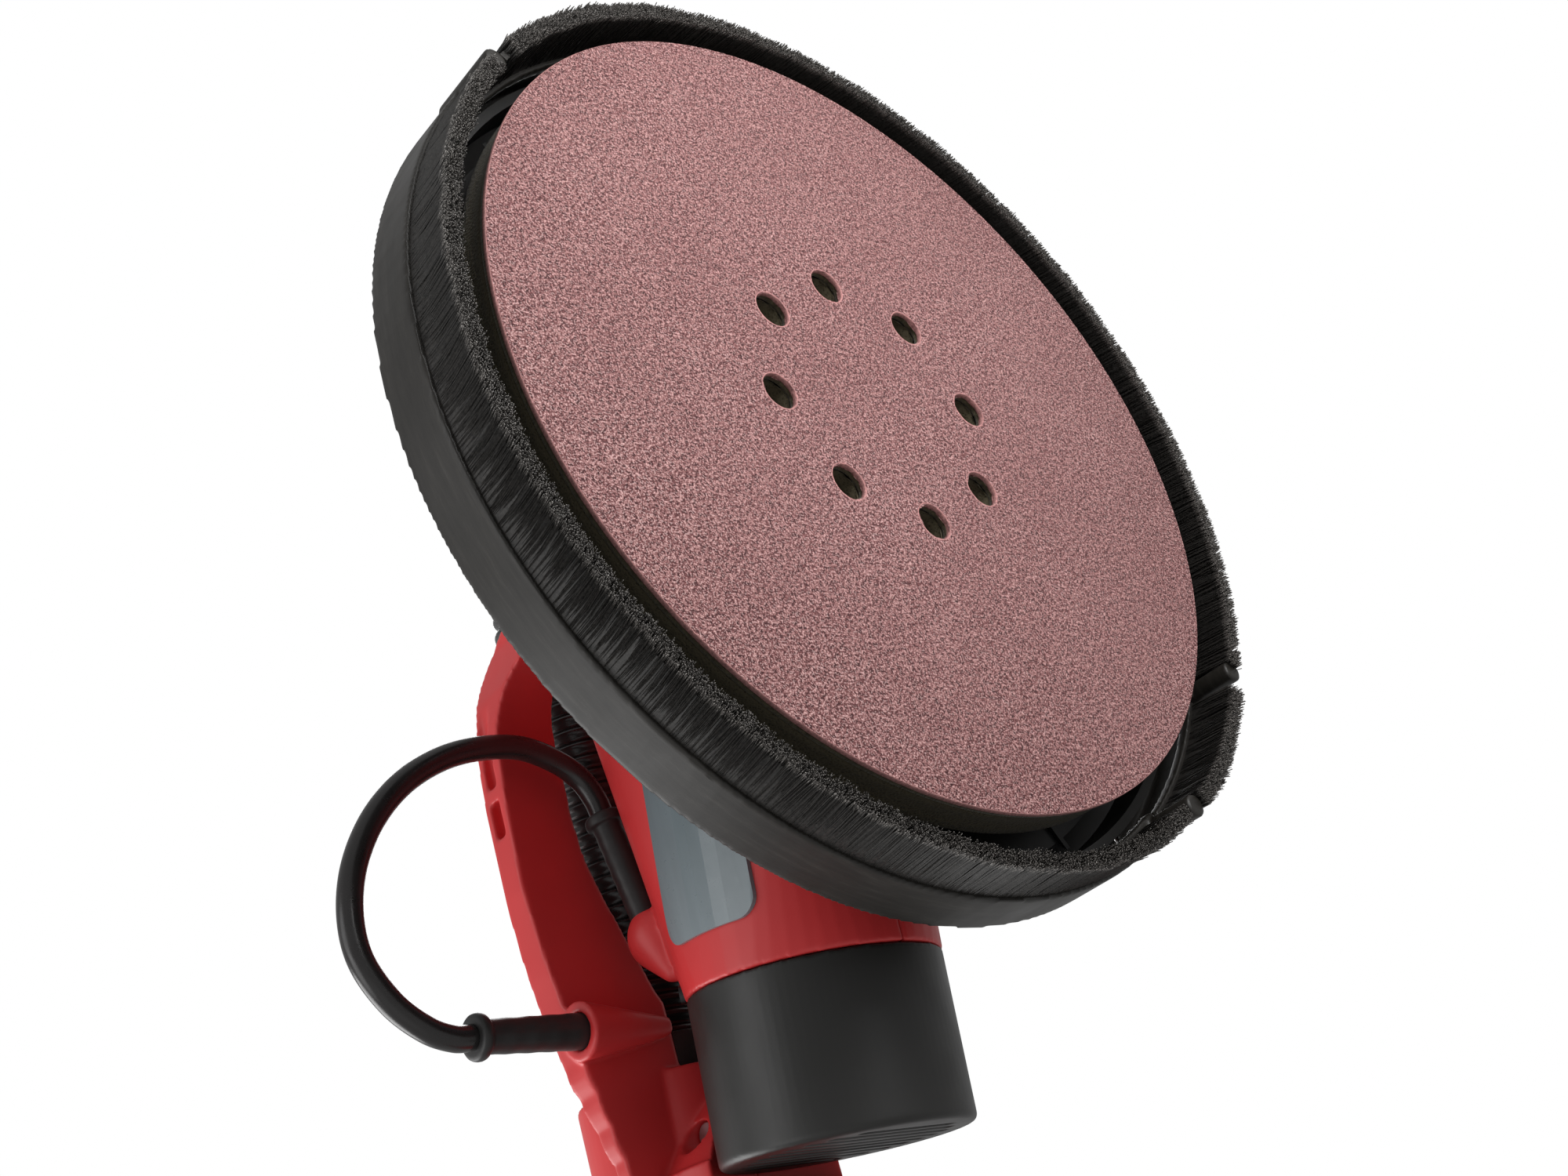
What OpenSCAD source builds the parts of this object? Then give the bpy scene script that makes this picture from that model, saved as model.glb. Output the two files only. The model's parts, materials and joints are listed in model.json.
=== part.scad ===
// Disc sander head with an orbital drive, a tilting fork handle and dust extraction.
// Origin: on the spindle axis, in the plane of the bristle tips. +Z goes up through the head,
// and the motor and the handle run towards -Y. Lengths are in millimetres.

/* [Sanding pad] */
// Diameter of the abrasive disc
disc_d = 225; // [215:1:226]
// Height of the abrasive face above the bristle tips
disc_lift = 3; // [2:0.5:4]
// Distance from the spindle axis to the pad axis
orbit = 2.5; // [1:0.5:3]
// Number of dust holes in the pad
pad_holes = 8; // [6:1:8]
// Diameter of each dust hole in the abrasive
pad_hole_d = 10; // [8:1:11]
// Radius of the circle of dust holes
pad_hole_circle = 35; // [30:1:40]
// Thickness of the foam layer
foam_h = 9.5; // [8:0.5:10]

/* [Brush skirt] */
// Outer diameter of the skirt band
band_d = 251; // [250:1:254]
// Height of the bristles below the band
bristle_h = 15; // [14:0.5:15]
// Height of the top rim of the skirt band
band_top = 30; // [28:1:31]
// Angle where the removable edge segment starts
edge_from = 213; // [210:1:215]
// Angle where the removable edge segment ends
edge_to = 238; // [236:1:240]

/* [Motor] */
// Height of the motor axis above the spindle axis crossing
motor_z = 67; // [66:0.5:68]
// Upward tilt of the motor axis towards the rear
motor_tilt = 7; // [6:0.5:8]
// Outer radius of the motor barrel
barrel_r = 32; // [31:0.5:33]
// Distance along the motor axis to the start of the end cap
cap_from = 117; // [115:1:119]
// Distance along the motor axis to the end of the end cap
cap_to = 158; // [156:1:160]
// Teeth on the motor pinion
pinion_teeth = 10; // [10:1:10]
// Teeth on the crown gear
crown_teeth = 30; // [30:1:30]

/* [Fork and handle] */
// Height of the tilt axis
pivot_z = 82; // [81:1:84]
// Distance of the tilt axis behind the spindle
pivot_back = 5; // [4:1:6]
// Half of the gap between the prongs
fork_gap = 24; // [24:0.5:25]
// Distance from the spindle to the rear end of the grip
grip_end = 400; // [360:5:420]
// Radius of the grip section
grip_r = 17.5; // [17:0.5:19]
// Outer radius of the dust hose
hose_r = 17.3; // [17:0.1:17.5]

/* [Hidden] */
$fn = 64;
e = 0.01;          // small overlap that keeps cuts clean
fit = 0.05;        // radial clearance of a running fit
red = [0.80, 0.16, 0.16];
dark = [0.16, 0.15, 0.15];
steel = [0.70, 0.71, 0.73];

disc_r = disc_d / 2;
abrasive_h = 1.3;
hook_h = 1.7;
hook_z = disc_lift + abrasive_h;
foam_z = hook_z + hook_h;
plate_z = foam_z + foam_h;
plate_h = 2.5;
rib_h = 2;
arbor_top = 30.7;
hole_turn = -7.25; // turn of the ring of dust holes
band_r = band_d / 2;
band_wall = 2.7;
lip_r = 119.5;     // inner radius of the lip that holds the bristles
arm_z = 21;        // underside of the skirt's spring arms
arm_h = 2.5;
arm_turn = 20;
spring_circle = 110;
ceiling_z = 36;    // underside of the shroud ceiling at the centre
ceiling_h = 2.5;
deck_z = ceiling_z + ceiling_h;
port_y = 64;       // distance of the dust port in front of the spindle
port_r = 15.5;
hose_z = 145;      // height of the dust duct in the handle
duct_r = 15;       // radius of the dust duct in the handle
hose_bend = 54;    // bend radius of the hose
bearing_z = 42;
bearing_h = 9;
mesh_r = 15;       // radius where pinion and crown gear meet
crown_h = 5.2;
mesh_depth = 6.64; // from the pinion axis down to the floor between the crown gear's teeth
crown_z = motor_z + mesh_r * tan(motor_tilt) - mesh_depth - crown_h;
mesh_w = 5;
tooth_h = 1.8;
head_r = 23.4;     // half width of the gear end of the housing
head_top = 117;
barrel_from = 62;  // where the gear end has grown into the round barrel
wall = 2.4;
neck_r = 24.5;
neck_from = 122;
neck_full = 150;   // where the neck reaches its full height
neck_to = 165;
grip_from = 195;
grip_low = 125;    // height of the lower centre of the grip section
neck_low = 125;
trig_y = 214;      // distance of the trigger pin behind the spindle
trig_z = 117;
dial_y = 182;
dial_x = 8;
dial_z = 118;
lock_y = 240;
lock_z = 122;
gland_z = 117.5;
spigot_len = 38;
boot_y = -112;
boot_z = 123.5;

// Route of the jumper cord's centre line, from the boot on the motor to the boot on the fork.
cord_r = 3.2;
boot_root = [16, -85, 117.5];
cord_points = [[20, -55, 120], [20.7, -50, 120.4], [24, -44, 120.5], [31, -39.5, 120],
    [42, -36.5, 119.5], [55, -37.5, 119.5], [67, -41, 120], [79, -48, 120.5],
    [89, -58, 121], [96, -70, 121.5], [99, -82, 122], [98, -93, 122.5],
    [92, -103, 123], [84, -109.5, 123.3], [77, -112, 123.5], [72, -112, 123.5]];

function arc(cx, cy, r, a0, a1, n = 12) =
    [for (i = [0 : n]) let (a = a0 + (a1 - a0) * i / n) [cx + r * cos(a), cy + r * sin(a)]];

module ring(r_out, r_in, h) {
    difference() {
        cylinder(r = r_out, h = h);
        translate([0, 0, -1]) cylinder(r = r_in, h = h + 2);
    }
}

// Part of a ring between two angles.
module ring_sector(r_out, r_in, h, from, to) {
    rotate([0, 0, from]) rotate_extrude(angle = to - from)
        translate([r_in, 0]) square([r_out - r_in, h]);
}

module around(n, turn = 0) {
    for (i = [0 : n - 1]) rotate([0, 0, turn + i * 360 / n]) children();
}

// Places children on the motor axis: local +Z runs rearwards, local +Y is up.
module on_motor(s = 0) {
    translate([0, 0, motor_z]) rotate([90 - motor_tilt, 0, 0]) translate([0, 0, s]) children();
}

// Places children on a line along -Y at a height: local +Z runs rearwards, local +Y is up.
module rearwards(y = 0, z = 0, x = 0) {
    translate([x, -y, z]) rotate([90, 0, 0]) children();
}

// Cylinder along +X that starts at x.
module rod_x(x, y, z, r, len) {
    translate([x, y, z]) rotate([0, 90, 0]) cylinder(r = r, h = len);
}

// Extrudes a (distance behind the spindle, height) outline along X.
module side_plate(x, width) {
    translate([x + width, 0, 0]) rotate([90, 0, -90]) linear_extrude(width) children();
}

module mirror_x() {
    children();
    mirror([1, 0, 0]) children();
}

// ---------- sanding pad ----------

module pad_layer(r, z, h, hole_r) {
    translate([0, orbit, z]) difference() {
        cylinder(r = r, h = h, $fn = 180);
        around(pad_holes, hole_turn)
            translate([pad_hole_circle, 0, -1]) cylinder(r = hole_r, h = h + 2, $fn = 32);
    }
}

module abrasive_disc() {
    color([0.59, 0.40, 0.41]) pad_layer(disc_r, disc_lift, abrasive_h, pad_hole_d / 2);
}

module hook_layer() {
    color([0.33, 0.30, 0.21]) pad_layer(disc_r - 0.5, hook_z, hook_h, pad_hole_d / 2 + 0.2);
}

module pad_foam() {
    color([0.31, 0.28, 0.20]) difference() {
        pad_layer(disc_r - 0.8, foam_z, foam_h, pad_hole_d / 2 + 0.2);
        translate([0, orbit, foam_z - 1]) cylinder(r = 9, h = foam_h + 2);
    }
}

module backing_plate() {
    color(dark) difference() {
        union() {
            translate([0, orbit, plate_z]) cylinder(r = 104, h = plate_h, $fn = 128);
            translate([0, orbit, plate_z + plate_h - e]) {
                ring(102, 99.5, rib_h);
                ring(46, 43.5, rib_h);
                around(16) translate([44, -1, 0]) cube([56, 2, rib_h]);
            }
        }
        translate([0, orbit, plate_z - 1]) {
            cylinder(r = 4.05, h = 10);
            around(pad_holes, hole_turn)
                translate([pad_hole_circle, 0, 0]) cylinder(r = pad_hole_d / 2 + 0.5, h = 10);
        }
    }
}

module pad_bolt() {
    color(steel) translate([0, orbit, plate_z]) {
        difference() {
            translate([0, 0, -4.2]) cylinder(r = 7.5, h = 4.15);
            translate([0, 0, -5]) cylinder(r = 3, h = 3.5, $fn = 6);
        }
        translate([0, 0, -0.1]) cylinder(r = 3.95, h = 12);
    }
}

module pad_arbor() {
    z0 = plate_z + plate_h;
    color(steel) translate([0, orbit, z0]) difference() {
        union() {
            cylinder(r = 9, h = 3.6);
            cylinder(r = 5.98, h = arbor_top - z0);
        }
        translate([0, 0, -1]) cylinder(r = 4.0, h = 12);
    }
}

module pad_bearing() {
    z0 = 22.3;
    color([0.6, 0.61, 0.63]) translate([0, orbit, z0]) difference() {
        cylinder(r = 14, h = arbor_top - z0);
        translate([0, 0, -1]) cylinder(r = 6, h = 12);
    }
}

// ---------- spindle ----------

module spindle() {
    color(steel) difference() {
        union() {
            translate([0, 0, 22]) cylinder(r = 20, h = 11.5);
            translate([0, 0, 33]) cylinder(r = 9, h = bearing_z - 33);
            translate([0, 0, bearing_z - 1]) cylinder(r = 7.5 - fit, h = crown_z - bearing_z);
            translate([0, 0, crown_z - 2]) cylinder(r = 5, h = 90 - crown_z);
        }
        translate([0, orbit, 21]) cylinder(r = 14 + fit, h = 10.3);
    }
}

// Radial tooth of the crown gear, wider towards the rim.
module crown_tooth() {
    r0 = mesh_r - mesh_w / 2;
    r1 = mesh_r + mesh_w / 2;
    linear_extrude(tooth_h + 0.2)
        polygon([[r0, -0.32], [r1, -0.45], [r1, 0.45], [r0, 0.32]]);
}

module crown_gear() {
    color([0.56, 0.55, 0.52]) {
        difference() {
            union() {
                translate([0, 0, crown_z]) cylinder(r = mesh_r + mesh_w / 2 + 0.3, h = crown_h);
                translate([0, 0, crown_z + crown_h - 0.2]) around(crown_teeth) crown_tooth();
            }
            translate([0, 0, crown_z - 1]) cylinder(r = 5.02, h = 12);
        }
    }
}

module counterweight() {
    color([0.45, 0.45, 0.46]) translate([0, 0, 25]) ring_sector(36, 20.02, 5, 220, 320);
}

module spindle_bearing_lower() {
    color([0.6, 0.61, 0.63]) translate([0, 0, bearing_z + 0.1]) ring(16, 7.5, bearing_h - 0.2);
}

module spindle_bearing_upper() {
    color([0.6, 0.61, 0.63]) translate([0, 0, 82]) ring(10, 5 + fit, 6);
}

// ---------- shroud and brush skirt ----------

module spring_places() {
    around(4, arm_turn) translate([spring_circle, 0, 0]) children();
}

module pad_shroud() {
    color([0.10, 0.10, 0.10]) difference() {
        union() {
            rotate_extrude($fn = 180) polygon([[119, arm_z], [119, 33], [113, 35.5],
                [60, deck_z], [19, deck_z], [19, ceiling_z], [60, ceiling_z],
                [112, 32.8], [116.5, 31], [116.5, arm_z]]);
            translate([0, port_y, 34]) cylinder(r = port_r - 0.1, h = 28);
            around(20, 11) rotate([90, 0, 0]) translate([0, 0, -0.8]) linear_extrude(1.6)
                polygon([[62, 33.5], [116, 31.6], [116, 32.6], [112, 34], [62, 37]]);
            spring_places() translate([0, 0, 28.5]) cylinder(r = 6.5, h = 5.5);
        }
        translate([0, port_y, 20]) cylinder(r = port_r - 2.5, h = 50);
        spring_places() translate([0, 0, 24]) cylinder(r = 5, h = 9);
        around(4, arm_turn) translate([112, -5.7, arm_z - 1]) cube([12, 11.4, 9.2]);
        flange_screw_places() translate([0, 0, 30]) cylinder(r = 2.1, h = 12, $fn = 24);
    }
}

// Post under the band at the end of a bristle strip.
module strip_post(a) {
    rotate([0, 0, a]) translate([band_r - 2, 0, 2]) cylinder(r = 3, h = bristle_h + 6, $fn = 32);
}

// Wall of the band with a lip for the bristles and a flange that covers the gap to the shroud.
module band_profile(from, to) {
    translate([0, 0, bristle_h]) ring_sector(band_r, lip_r, 3, from, to);
    translate([0, 0, bristle_h]) ring_sector(band_r, band_r - band_wall,
        band_top - bristle_h, from, to);
    translate([0, 0, band_top - 1.5]) ring_sector(band_r, lip_r + 0.2, 1.5, from, to);
}

module brush_band() {
    color([0.15, 0.14, 0.14]) {
        band_profile(edge_to - 360, edge_from, $fn = 180);
        for (a = [40, edge_from - 1.4, edge_to + 1]) strip_post(a);
        around(4, arm_turn) {
            translate([lip_r + 0.3, -5, bristle_h + 2]) cube([2.2, 10, arm_z - bristle_h + 0.5]);
            translate([spring_circle - 5, -5, arm_z]) cube([16.8, 10, arm_h]);
        }
    }
}

module edge_segment() {
    color([0.15, 0.14, 0.14]) translate([cos(225.5), sin(225.5), 0] * 1.2)
        band_profile(edge_from + 0.6, edge_to - 0.6, $fn = 180);
}

module bristle_strip(from, to) {
    ring_sector(124.6, 120.6, bristle_h, from, to);
}

module brush_bristles() {
    color([0.09, 0.085, 0.08]) {
        bristle_strip(edge_to + 3 - 360, 38, $fn = 180);
        bristle_strip(42, edge_from - 3, $fn = 180);
    }
}

module edge_bristles() {
    color([0.09, 0.085, 0.08]) translate([cos(225.5), sin(225.5), 0] * 1.2)
        bristle_strip(edge_from + 1, edge_to - 1, $fn = 180);
}

// Coil spring made of flat open turns, fine enough for its small size.
module coil(r, wire, h, turns) {
    n = 14;
    total = turns * n;
    pts = [for (i = [0 : total]) let (a = 360 * i / n)
        for (q = [0 : 5]) let (b = 60 * q, rr = r + wire * cos(b))
            [rr * cos(a), rr * sin(a), wire + (h - 2 * wire) * i / total + wire * sin(b)]];
    sides = [for (i = [0 : total - 1], q = [0 : 5])
        [i * 6 + q, i * 6 + (q + 1) % 6, (i + 1) * 6 + (q + 1) % 6, (i + 1) * 6 + q]];
    polyhedron(concat(pts, []), concat(sides,
        [[for (q = [5 : -1 : 0]) q], [for (q = [0 : 5]) total * 6 + q]]));
}

module skirt_springs() {
    color(steel) spring_places() translate([0, 0, arm_z + arm_h + 0.05]) coil(3.8, 0.45, 9.2, 4);
}

// ---------- gear housing ----------

module pivot_hole(r, x = 0, len = 60) {
    mirror_x() rod_x(x, -pivot_back, pivot_z, r, len);
}

// Screws through the flange of the gear housing, clear of the motor shells.
module flange_screw_places() {
    for (a = [30, 150, 200, 340]) rotate([0, 0, a]) translate([31, 0, 0]) children();
}

module gear_housing() {
    color([0.62, 0.63, 0.65]) difference() {
        union() {
            translate([0, 0, deck_z]) cylinder(r = 37, h = 4);
            translate([0, 0, ceiling_z - 0.5]) cylinder(r = 18.9, h = 20);
            translate([0, 0, deck_z]) cylinder(r = 20.6, h = 92 - deck_z);
            on_motor(20) cylinder(r = 20.9, h = 24);
            on_motor(40) cylinder(r = 23.5, h = 4);
            mirror_x() rod_x(12, -pivot_back, pivot_z, 9.8, head_r - 12);
        }
        translate([0, 0, crown_z - 1.5]) cylinder(r = 18.9, h = 22);
        translate([0, 0, crown_z]) cylinder(r = 11, h = 25.1);
        translate([0, 0, bearing_z]) cylinder(r = 16.02, h = bearing_h + 0.4);
        translate([0, 0, bearing_z]) cylinder(r = 12, h = 20);
        translate([0, 0, 30]) cylinder(r = 9.6, h = 20);
        translate([0, 0, 81.9]) cylinder(r = 10.02, h = 6.2);
        translate([0, 0, 88]) cylinder(r = 6, h = 2.5);
        on_motor(6) cylinder(r = 8, h = 24);
        on_motor(26) cylinder(r = 13.02, h = 8);
        on_motor(30) cylinder(r = 8, h = 20);
        on_motor(38) cylinder(r = 18, h = 10);
        pivot_hole(4.0, 11, 30);
        flange_screw_places() translate([0, 0, deck_z - 1]) cylinder(r = 2.1, h = 12, $fn = 24);
    }
}

module gear_housing_screws() {
    color(steel) flange_screw_places() {
        translate([0, 0, ceiling_z + 0.1]) cylinder(r = 2, h = 6.5, $fn = 24);
        difference() {
            translate([0, 0, deck_z + 4.05]) cylinder(r = 3.6, h = 2.6, $fn = 24);
            translate([0, 0, deck_z + 5.5]) cylinder(r = 1.8, h = 3, $fn = 6);
        }
    }
}

// ---------- motor housing ----------

// Closed outline of the gear end and the barrel, drawn in by t, with flats beside the pivots.
module housing_body(t) {
    base = deck_z + 4.4 + t;
    difference() {
        hull() {
            translate([0, 0, base])
                cylinder(r = head_r - t, h = head_top - 3 - t - base, $fn = 32);
            translate([t - head_r, -20, base])
                cube([2 * (head_r - t), 20, head_top - 3 - t - base]);
            translate([0, 0, base]) cylinder(r = head_r - 3 - t, h = head_top - t - base, $fn = 32);
            translate([t + 3 - head_r, -18, base])
                cube([2 * (head_r - 3 - t), 18, head_top - t - base]);
            on_motor(barrel_from) cylinder(r = barrel_r - 0.5 - t, h = 1, $fn = 48);
            on_motor(cap_from - 1) cylinder(r = barrel_r - t, h = t > 0 ? 2 : 1, $fn = 48);
        }
        mirror_x() translate([head_r - t, -21 - t, 30]) cube([20, 60, 100]);
    }
}

// Upright hooks on top of the head that keep the hose off it.
module hose_hooks() {
    color(red) mirror_x() difference() {
        side_plate(17, 5.5) polygon([[5, 114], [5, 122], [8, 126], [14, 126.5], [19, 123],
            [20.5, 119.5], [16.5, 120.5], [13.5, 118.5], [13, 114]]);
        housing_body(0);
        translate([head_r, -40, 110]) cube([20, 60, 10]);
    }
}

// Screws that hold the two motor shells together, with their heads on the -X side.
module shell_screw_places() {
    for (p = [[-4, 105], [12, 105]]) translate([0, -p[0], p[1]]) rotate([0, -90, 0]) children();
    on_motor(106.8) for (up = [-20, 20]) translate([0, up, 0]) rotate([0, -90, 0]) children();
}

module motor_housing() {
    difference() {
        union() {
            difference() {
                housing_body(0);
                housing_body(wall);
            }
            shell_screw_places() cylinder(r = 3.4, h = 42.4, center = true, $fn = 32);
        }
        shell_screw_places() {
            cylinder(r = 1.7, h = 20, center = true, $fn = 24);
            translate([0, 0, 8.5]) cylinder(r = 2.9, h = 60, $fn = 32);
        }
        translate([0, 0, 20]) cylinder(r = 21.1, h = 40);
        pivot_hole(10, 0);
        cap_screw_places() {
            translate([0, 0, -7]) cylinder(r = 1.25, h = 9, $fn = 24);
            cylinder(r = 2.7, h = 4, $fn = 24);
        }
        for (i = [0 : 3])
            mirror_x() translate([20, -58 + i * 4.6, 60]) rotate([-motor_tilt, 0, 0])
                cube([20, 2.4, 26]);
    }
}

module motor_housing_left() {
    color(red) {
        intersection() {
            motor_housing();
            translate([0.05, -200, 0]) cube([60, 300, 200]);
        }
        cord_boss();
    }
}

module motor_housing_right() {
    color(red) intersection() {
        motor_housing();
        translate([-60.05, -200, 0]) cube([60, 300, 200]);
    }
}

// Teardrop fairing on the shoulder of the barrel, where the jumper cord leaves the motor.
module cord_boss() {
    difference() {
        hull() {
            translate([16.5, -92, 113]) sphere(r = 9, $fn = 28);
            translate([20.5, -103, 108]) sphere(r = 3, $fn = 20);
        }
        housing_body(0);
        translate([0, boot_root[1] - 0.8, 0]) cube([60, 30, 200]);
    }
}

module housing_screws() {
    color(steel) shell_screw_places() {
        translate([0, 0, -7]) cylinder(r = 1.65, h = 15.6, $fn = 24);
        translate([0, 0, 8.52]) cylinder(r = 2.7, h = 1.8, $fn = 32);
    }
}

// ---------- motor ----------

module pinion() {
    color([0.56, 0.55, 0.52]) on_motor(mesh_r - mesh_w / 2 - 0.3) difference() {
        union() {
            cylinder(r = 3.9, h = mesh_w + 1.6);
            around(pinion_teeth, 90) linear_extrude(mesh_w + 1)
                polygon([[3.2, -0.6], [5.6, -0.32], [5.6, 0.32], [3.2, 0.6]]);
        }
        translate([0, 0, -1]) cylinder(r = 2.5, h = 20);
    }
}

module rotor_shaft() {
    color(steel) on_motor() {
        translate([0, 0, 10.8]) cylinder(r = 2.48, h = 14);
        translate([0, 0, 20]) cylinder(r = 5 - fit, h = 20);
        translate([0, 0, 36.2]) cylinder(r = 4, h = 107);
    }
}

module rotor_core() {
    color([0.5, 0.42, 0.32]) on_motor(62) difference() {
        cylinder(r = 16.5, h = 38);
        translate([0, 0, -1]) cylinder(r = 4.02, h = 50);
        around(12) translate([16.2, 0, -1]) cylinder(r = 1.2, h = 50, $fn = 16);
    }
}

module commutator() {
    color([0.72, 0.42, 0.24]) on_motor(108) difference() {
        cylinder(r = 9, h = 14);
        translate([0, 0, -1]) cylinder(r = 4.02, h = 20);
        around(16) translate([8.4, -0.2, -1]) cube([2, 0.4, 20]);
    }
}

module cooling_fan() {
    color([0.2, 0.2, 0.22]) on_motor(46) difference() {
        union() {
            cylinder(r = 24, h = 1.6);
            cylinder(r = 9, h = 8);
            around(11) translate([8, -0.7, 1]) rotate([0, 0, 14]) cube([15.5, 1.4, 7]);
        }
        translate([0, 0, -1]) cylinder(r = 4.02, h = 12);
    }
}

module stator() {
    color([0.42, 0.43, 0.45]) on_motor(63) difference() {
        cylinder(r = 28.6, h = 39);
        translate([0, 0, -1]) cylinder(r = 17.1, h = 50);
        around(2, 90) translate([24.5, -5, -1]) cube([6, 10, 50]);
    }
}

module motor_bearing_front() {
    color([0.6, 0.61, 0.63]) on_motor(26.1) ring(13, 5, 7.8);
}

module motor_bearing_rear() {
    color([0.6, 0.61, 0.63]) on_motor(134) ring(9.5, 4 + fit, 7);
}

module bearing_bracket() {
    color(dark) on_motor(130) difference() {
        union() {
            cylinder(r = 28.9, h = 3);
            cylinder(r = 12, h = 11);
        }
        translate([0, 0, 3.9]) cylinder(r = 9.52, h = 20);
        translate([0, 0, -1]) cylinder(r = 6, h = 20);
        around(8) translate([20.5, 0, -1]) cylinder(r = 4.5, h = 10, $fn = 32);
    }
}

module brush_holders() {
    color([0.72, 0.6, 0.3]) on_motor(111) mirror_x() difference() {
        translate([11, -4.2, 0]) cube([15, 8.4, 9.5]);
        translate([10, -2.6, 1.6]) cube([14, 5.2, 6.3]);
    }
}

module carbon_brushes() {
    color([0.14, 0.14, 0.15]) on_motor(112.7) mirror_x() translate([9.2, -2.5, 0])
        cube([11, 5, 6]);
}

module motor_cap() {
    r = barrel_r - 0.2;
    color(dark) on_motor() difference() {
        rotate_extrude($fn = 96) polygon(concat(
            [[r - 2.6, cap_from + 0.2], [r, cap_from + 0.2]],
            arc(r - 2.2, cap_to - 1.6, 1.6, 0, 90, 6),
            [[0, cap_to], [0, cap_to - 2.6], [r - 4, cap_to - 2.6], [r - 2.6, cap_to - 4]]));
        for (i = [-4 : 4]) let (half = sqrt(25 * 25 - i * i * 25))
            translate([-half, i * 5 - 1.2, cap_to - 4]) cube([2 * half, 2.4, 6]);
    }
    color(dark) difference() {
        on_motor(cap_from - 5) ring(barrel_r - wall - 0.2, barrel_r - wall - 2.4, 8);
        cap_screw_places() translate([0, 0, -7]) cylinder(r = 1.25, h = 9, $fn = 24);
    }
}

// Places children on the barrel's surface over the cap's spigot: local +Z points outwards.
module cap_screw_places() {
    on_motor(cap_from - 2.6) for (a = [48, 132]) rotate([0, 0, a])
        translate([barrel_r, 0, 0]) rotate([0, 90, 0]) children();
}

module cap_screws() {
    color([0.12, 0.12, 0.12]) cap_screw_places() {
        translate([0, 0, -5.5]) cylinder(r = 1.2, h = 5.6, $fn = 24);
        translate([0, 0, 0.05]) cylinder(r = 2.4, h = 1.2, $fn = 24);
    }
}

// Thin plate that follows the side of the barrel.
module badge_plate() {
    color([0.45, 0.50, 0.52]) intersection() {
        difference() {
            housing_body(-1);
            housing_body(-0.04);
        }
        on_motor(80) rotate([0, 90, 0]) linear_extrude(50) offset(r = 5, $fn = 24)
            square([41, 21], center = true);
    }
}

// ---------- fork and handle ----------

module pivot_washers() {
    color(steel) mirror_x() difference() {
        rod_x(head_r + 0.05, -pivot_back, pivot_z, 9, fork_gap - head_r - 0.15);
        rod_x(head_r - 1, -pivot_back, pivot_z, 5, 3);
    }
}

module pivot_bolts() {
    color(steel) mirror_x() difference() {
        union() {
            rod_x(14, -pivot_back, pivot_z, 3.95, 12);
            rod_x(head_r + 0.05, -pivot_back, pivot_z, 5 - fit, 11);
            rod_x(fork_gap + 10.3, -pivot_back, pivot_z, 8.5, 3.4);
        }
        rod_x(fork_gap + 11.5, -pivot_back, pivot_z, 3, 4, $fn = 6);
    }
}

// Side outline of a prong and of the plate that it runs into: a bar that bends down to the eye.
module prong_side() {
    polygon(concat([[-5, 82], [-5.5, 100]], arc(18, 113.5, 23.2, 178, 92, 10),
        [[40, 137], [70, 137], [110, 136], [150, 132], [188, 128],
        [188, 128], [150, 127.5], [120, 126.5], [100, 126.5], [86, 127.5], [70, 128],
        [46, 127]],
        arc(30, 106, 20.5, 95, 172, 7),
        [[11, 98], [13, 90], [15, 82]]));
}

// Half outline of the fork from above, for X > 0, as (X, distance behind the spindle).
module prong_plan() {
    scallops = [for (i = [0 : 20]) let (along = i * 2.1)
        [39.3 - 0.24 * along + 0.7 * abs(sin(along * 180 / 8.4)), 118 + along]];
    polygon(concat([[fork_gap, -20], [34, -20], [35, 2], [40, 16], [43, 30], [44.3, 48],
        [44.5, 72], [43, 95], [41.5, 106]], scallops,
        [[22, 188], [0, 188], [0, 118], [3, 117], [11.5, 101], [19, 76], [23, 62],
        [fork_gap, 50]]));
}

// One prong with its share of the plate, on the +X side.
module prong() {
    difference() {
        intersection() {
            union() {
                side_plate(0, 50) prong_side();
                rod_x(0, -pivot_back, pivot_z, 13, 50);
            }
            translate([0, 0, 40]) mirror([0, 1, 0]) linear_extrude(120) prong_plan();
        }
        // slanted outer top edge
        translate([44.8, -260, 136]) rotate([0, -50, 0]) cube([40, 300, 60]);
        // pockets in the outer face
        for (p = [[-2.2, 119, 68], [8, 130, 38], [22, 133, 10], [37, 132.3, 0], [51, 132.3, 0]])
            translate([40.5, -p[0], p[1]]) rotate([-p[2], 0, 0])
                translate([0, -5, -2]) cube([8, 10, 4]);
    }
}

module section(r, low, high) {
    translate([0, low]) circle(r = r);
    translate([0, high]) circle(r = r);
    translate([-r, low]) square([2 * r, high - low]);
}

// Handle solid, drawn in by t: a neck behind the fork, a taper and a grip.
module handle_body(t) {
    rearwards(neck_from + t, hose_z) cylinder(r = neck_r - t, h = neck_full - neck_from);
    rearwards(neck_from + 9 + t, neck_low)
        cylinder(r1 = 8 - t, r2 = neck_r - 1 - t, h = neck_full - neck_from - 9 - t);
    rearwards(neck_full - 1) linear_extrude(neck_to - neck_full + 1)
        section(neck_r - t, neck_low, hose_z);
    hull() {
        rearwards(neck_to) linear_extrude(0.1) section(neck_r - t, neck_low, hose_z, $fn = 40);
        rearwards(grip_from) linear_extrude(0.1) section(grip_r - t, grip_low, hose_z, $fn = 40);
    }
    rearwards(grip_from) linear_extrude(grip_end - grip_from - t)
        section(grip_r - t, grip_low, hose_z);
}

module handle_screw_places() {
    for (p = [[141, 121.8], [173, 110], [268, 115], [386, 115]])
        translate([0, -p[0], p[1]]) rotate([0, 90, 0]) children();
}

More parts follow.
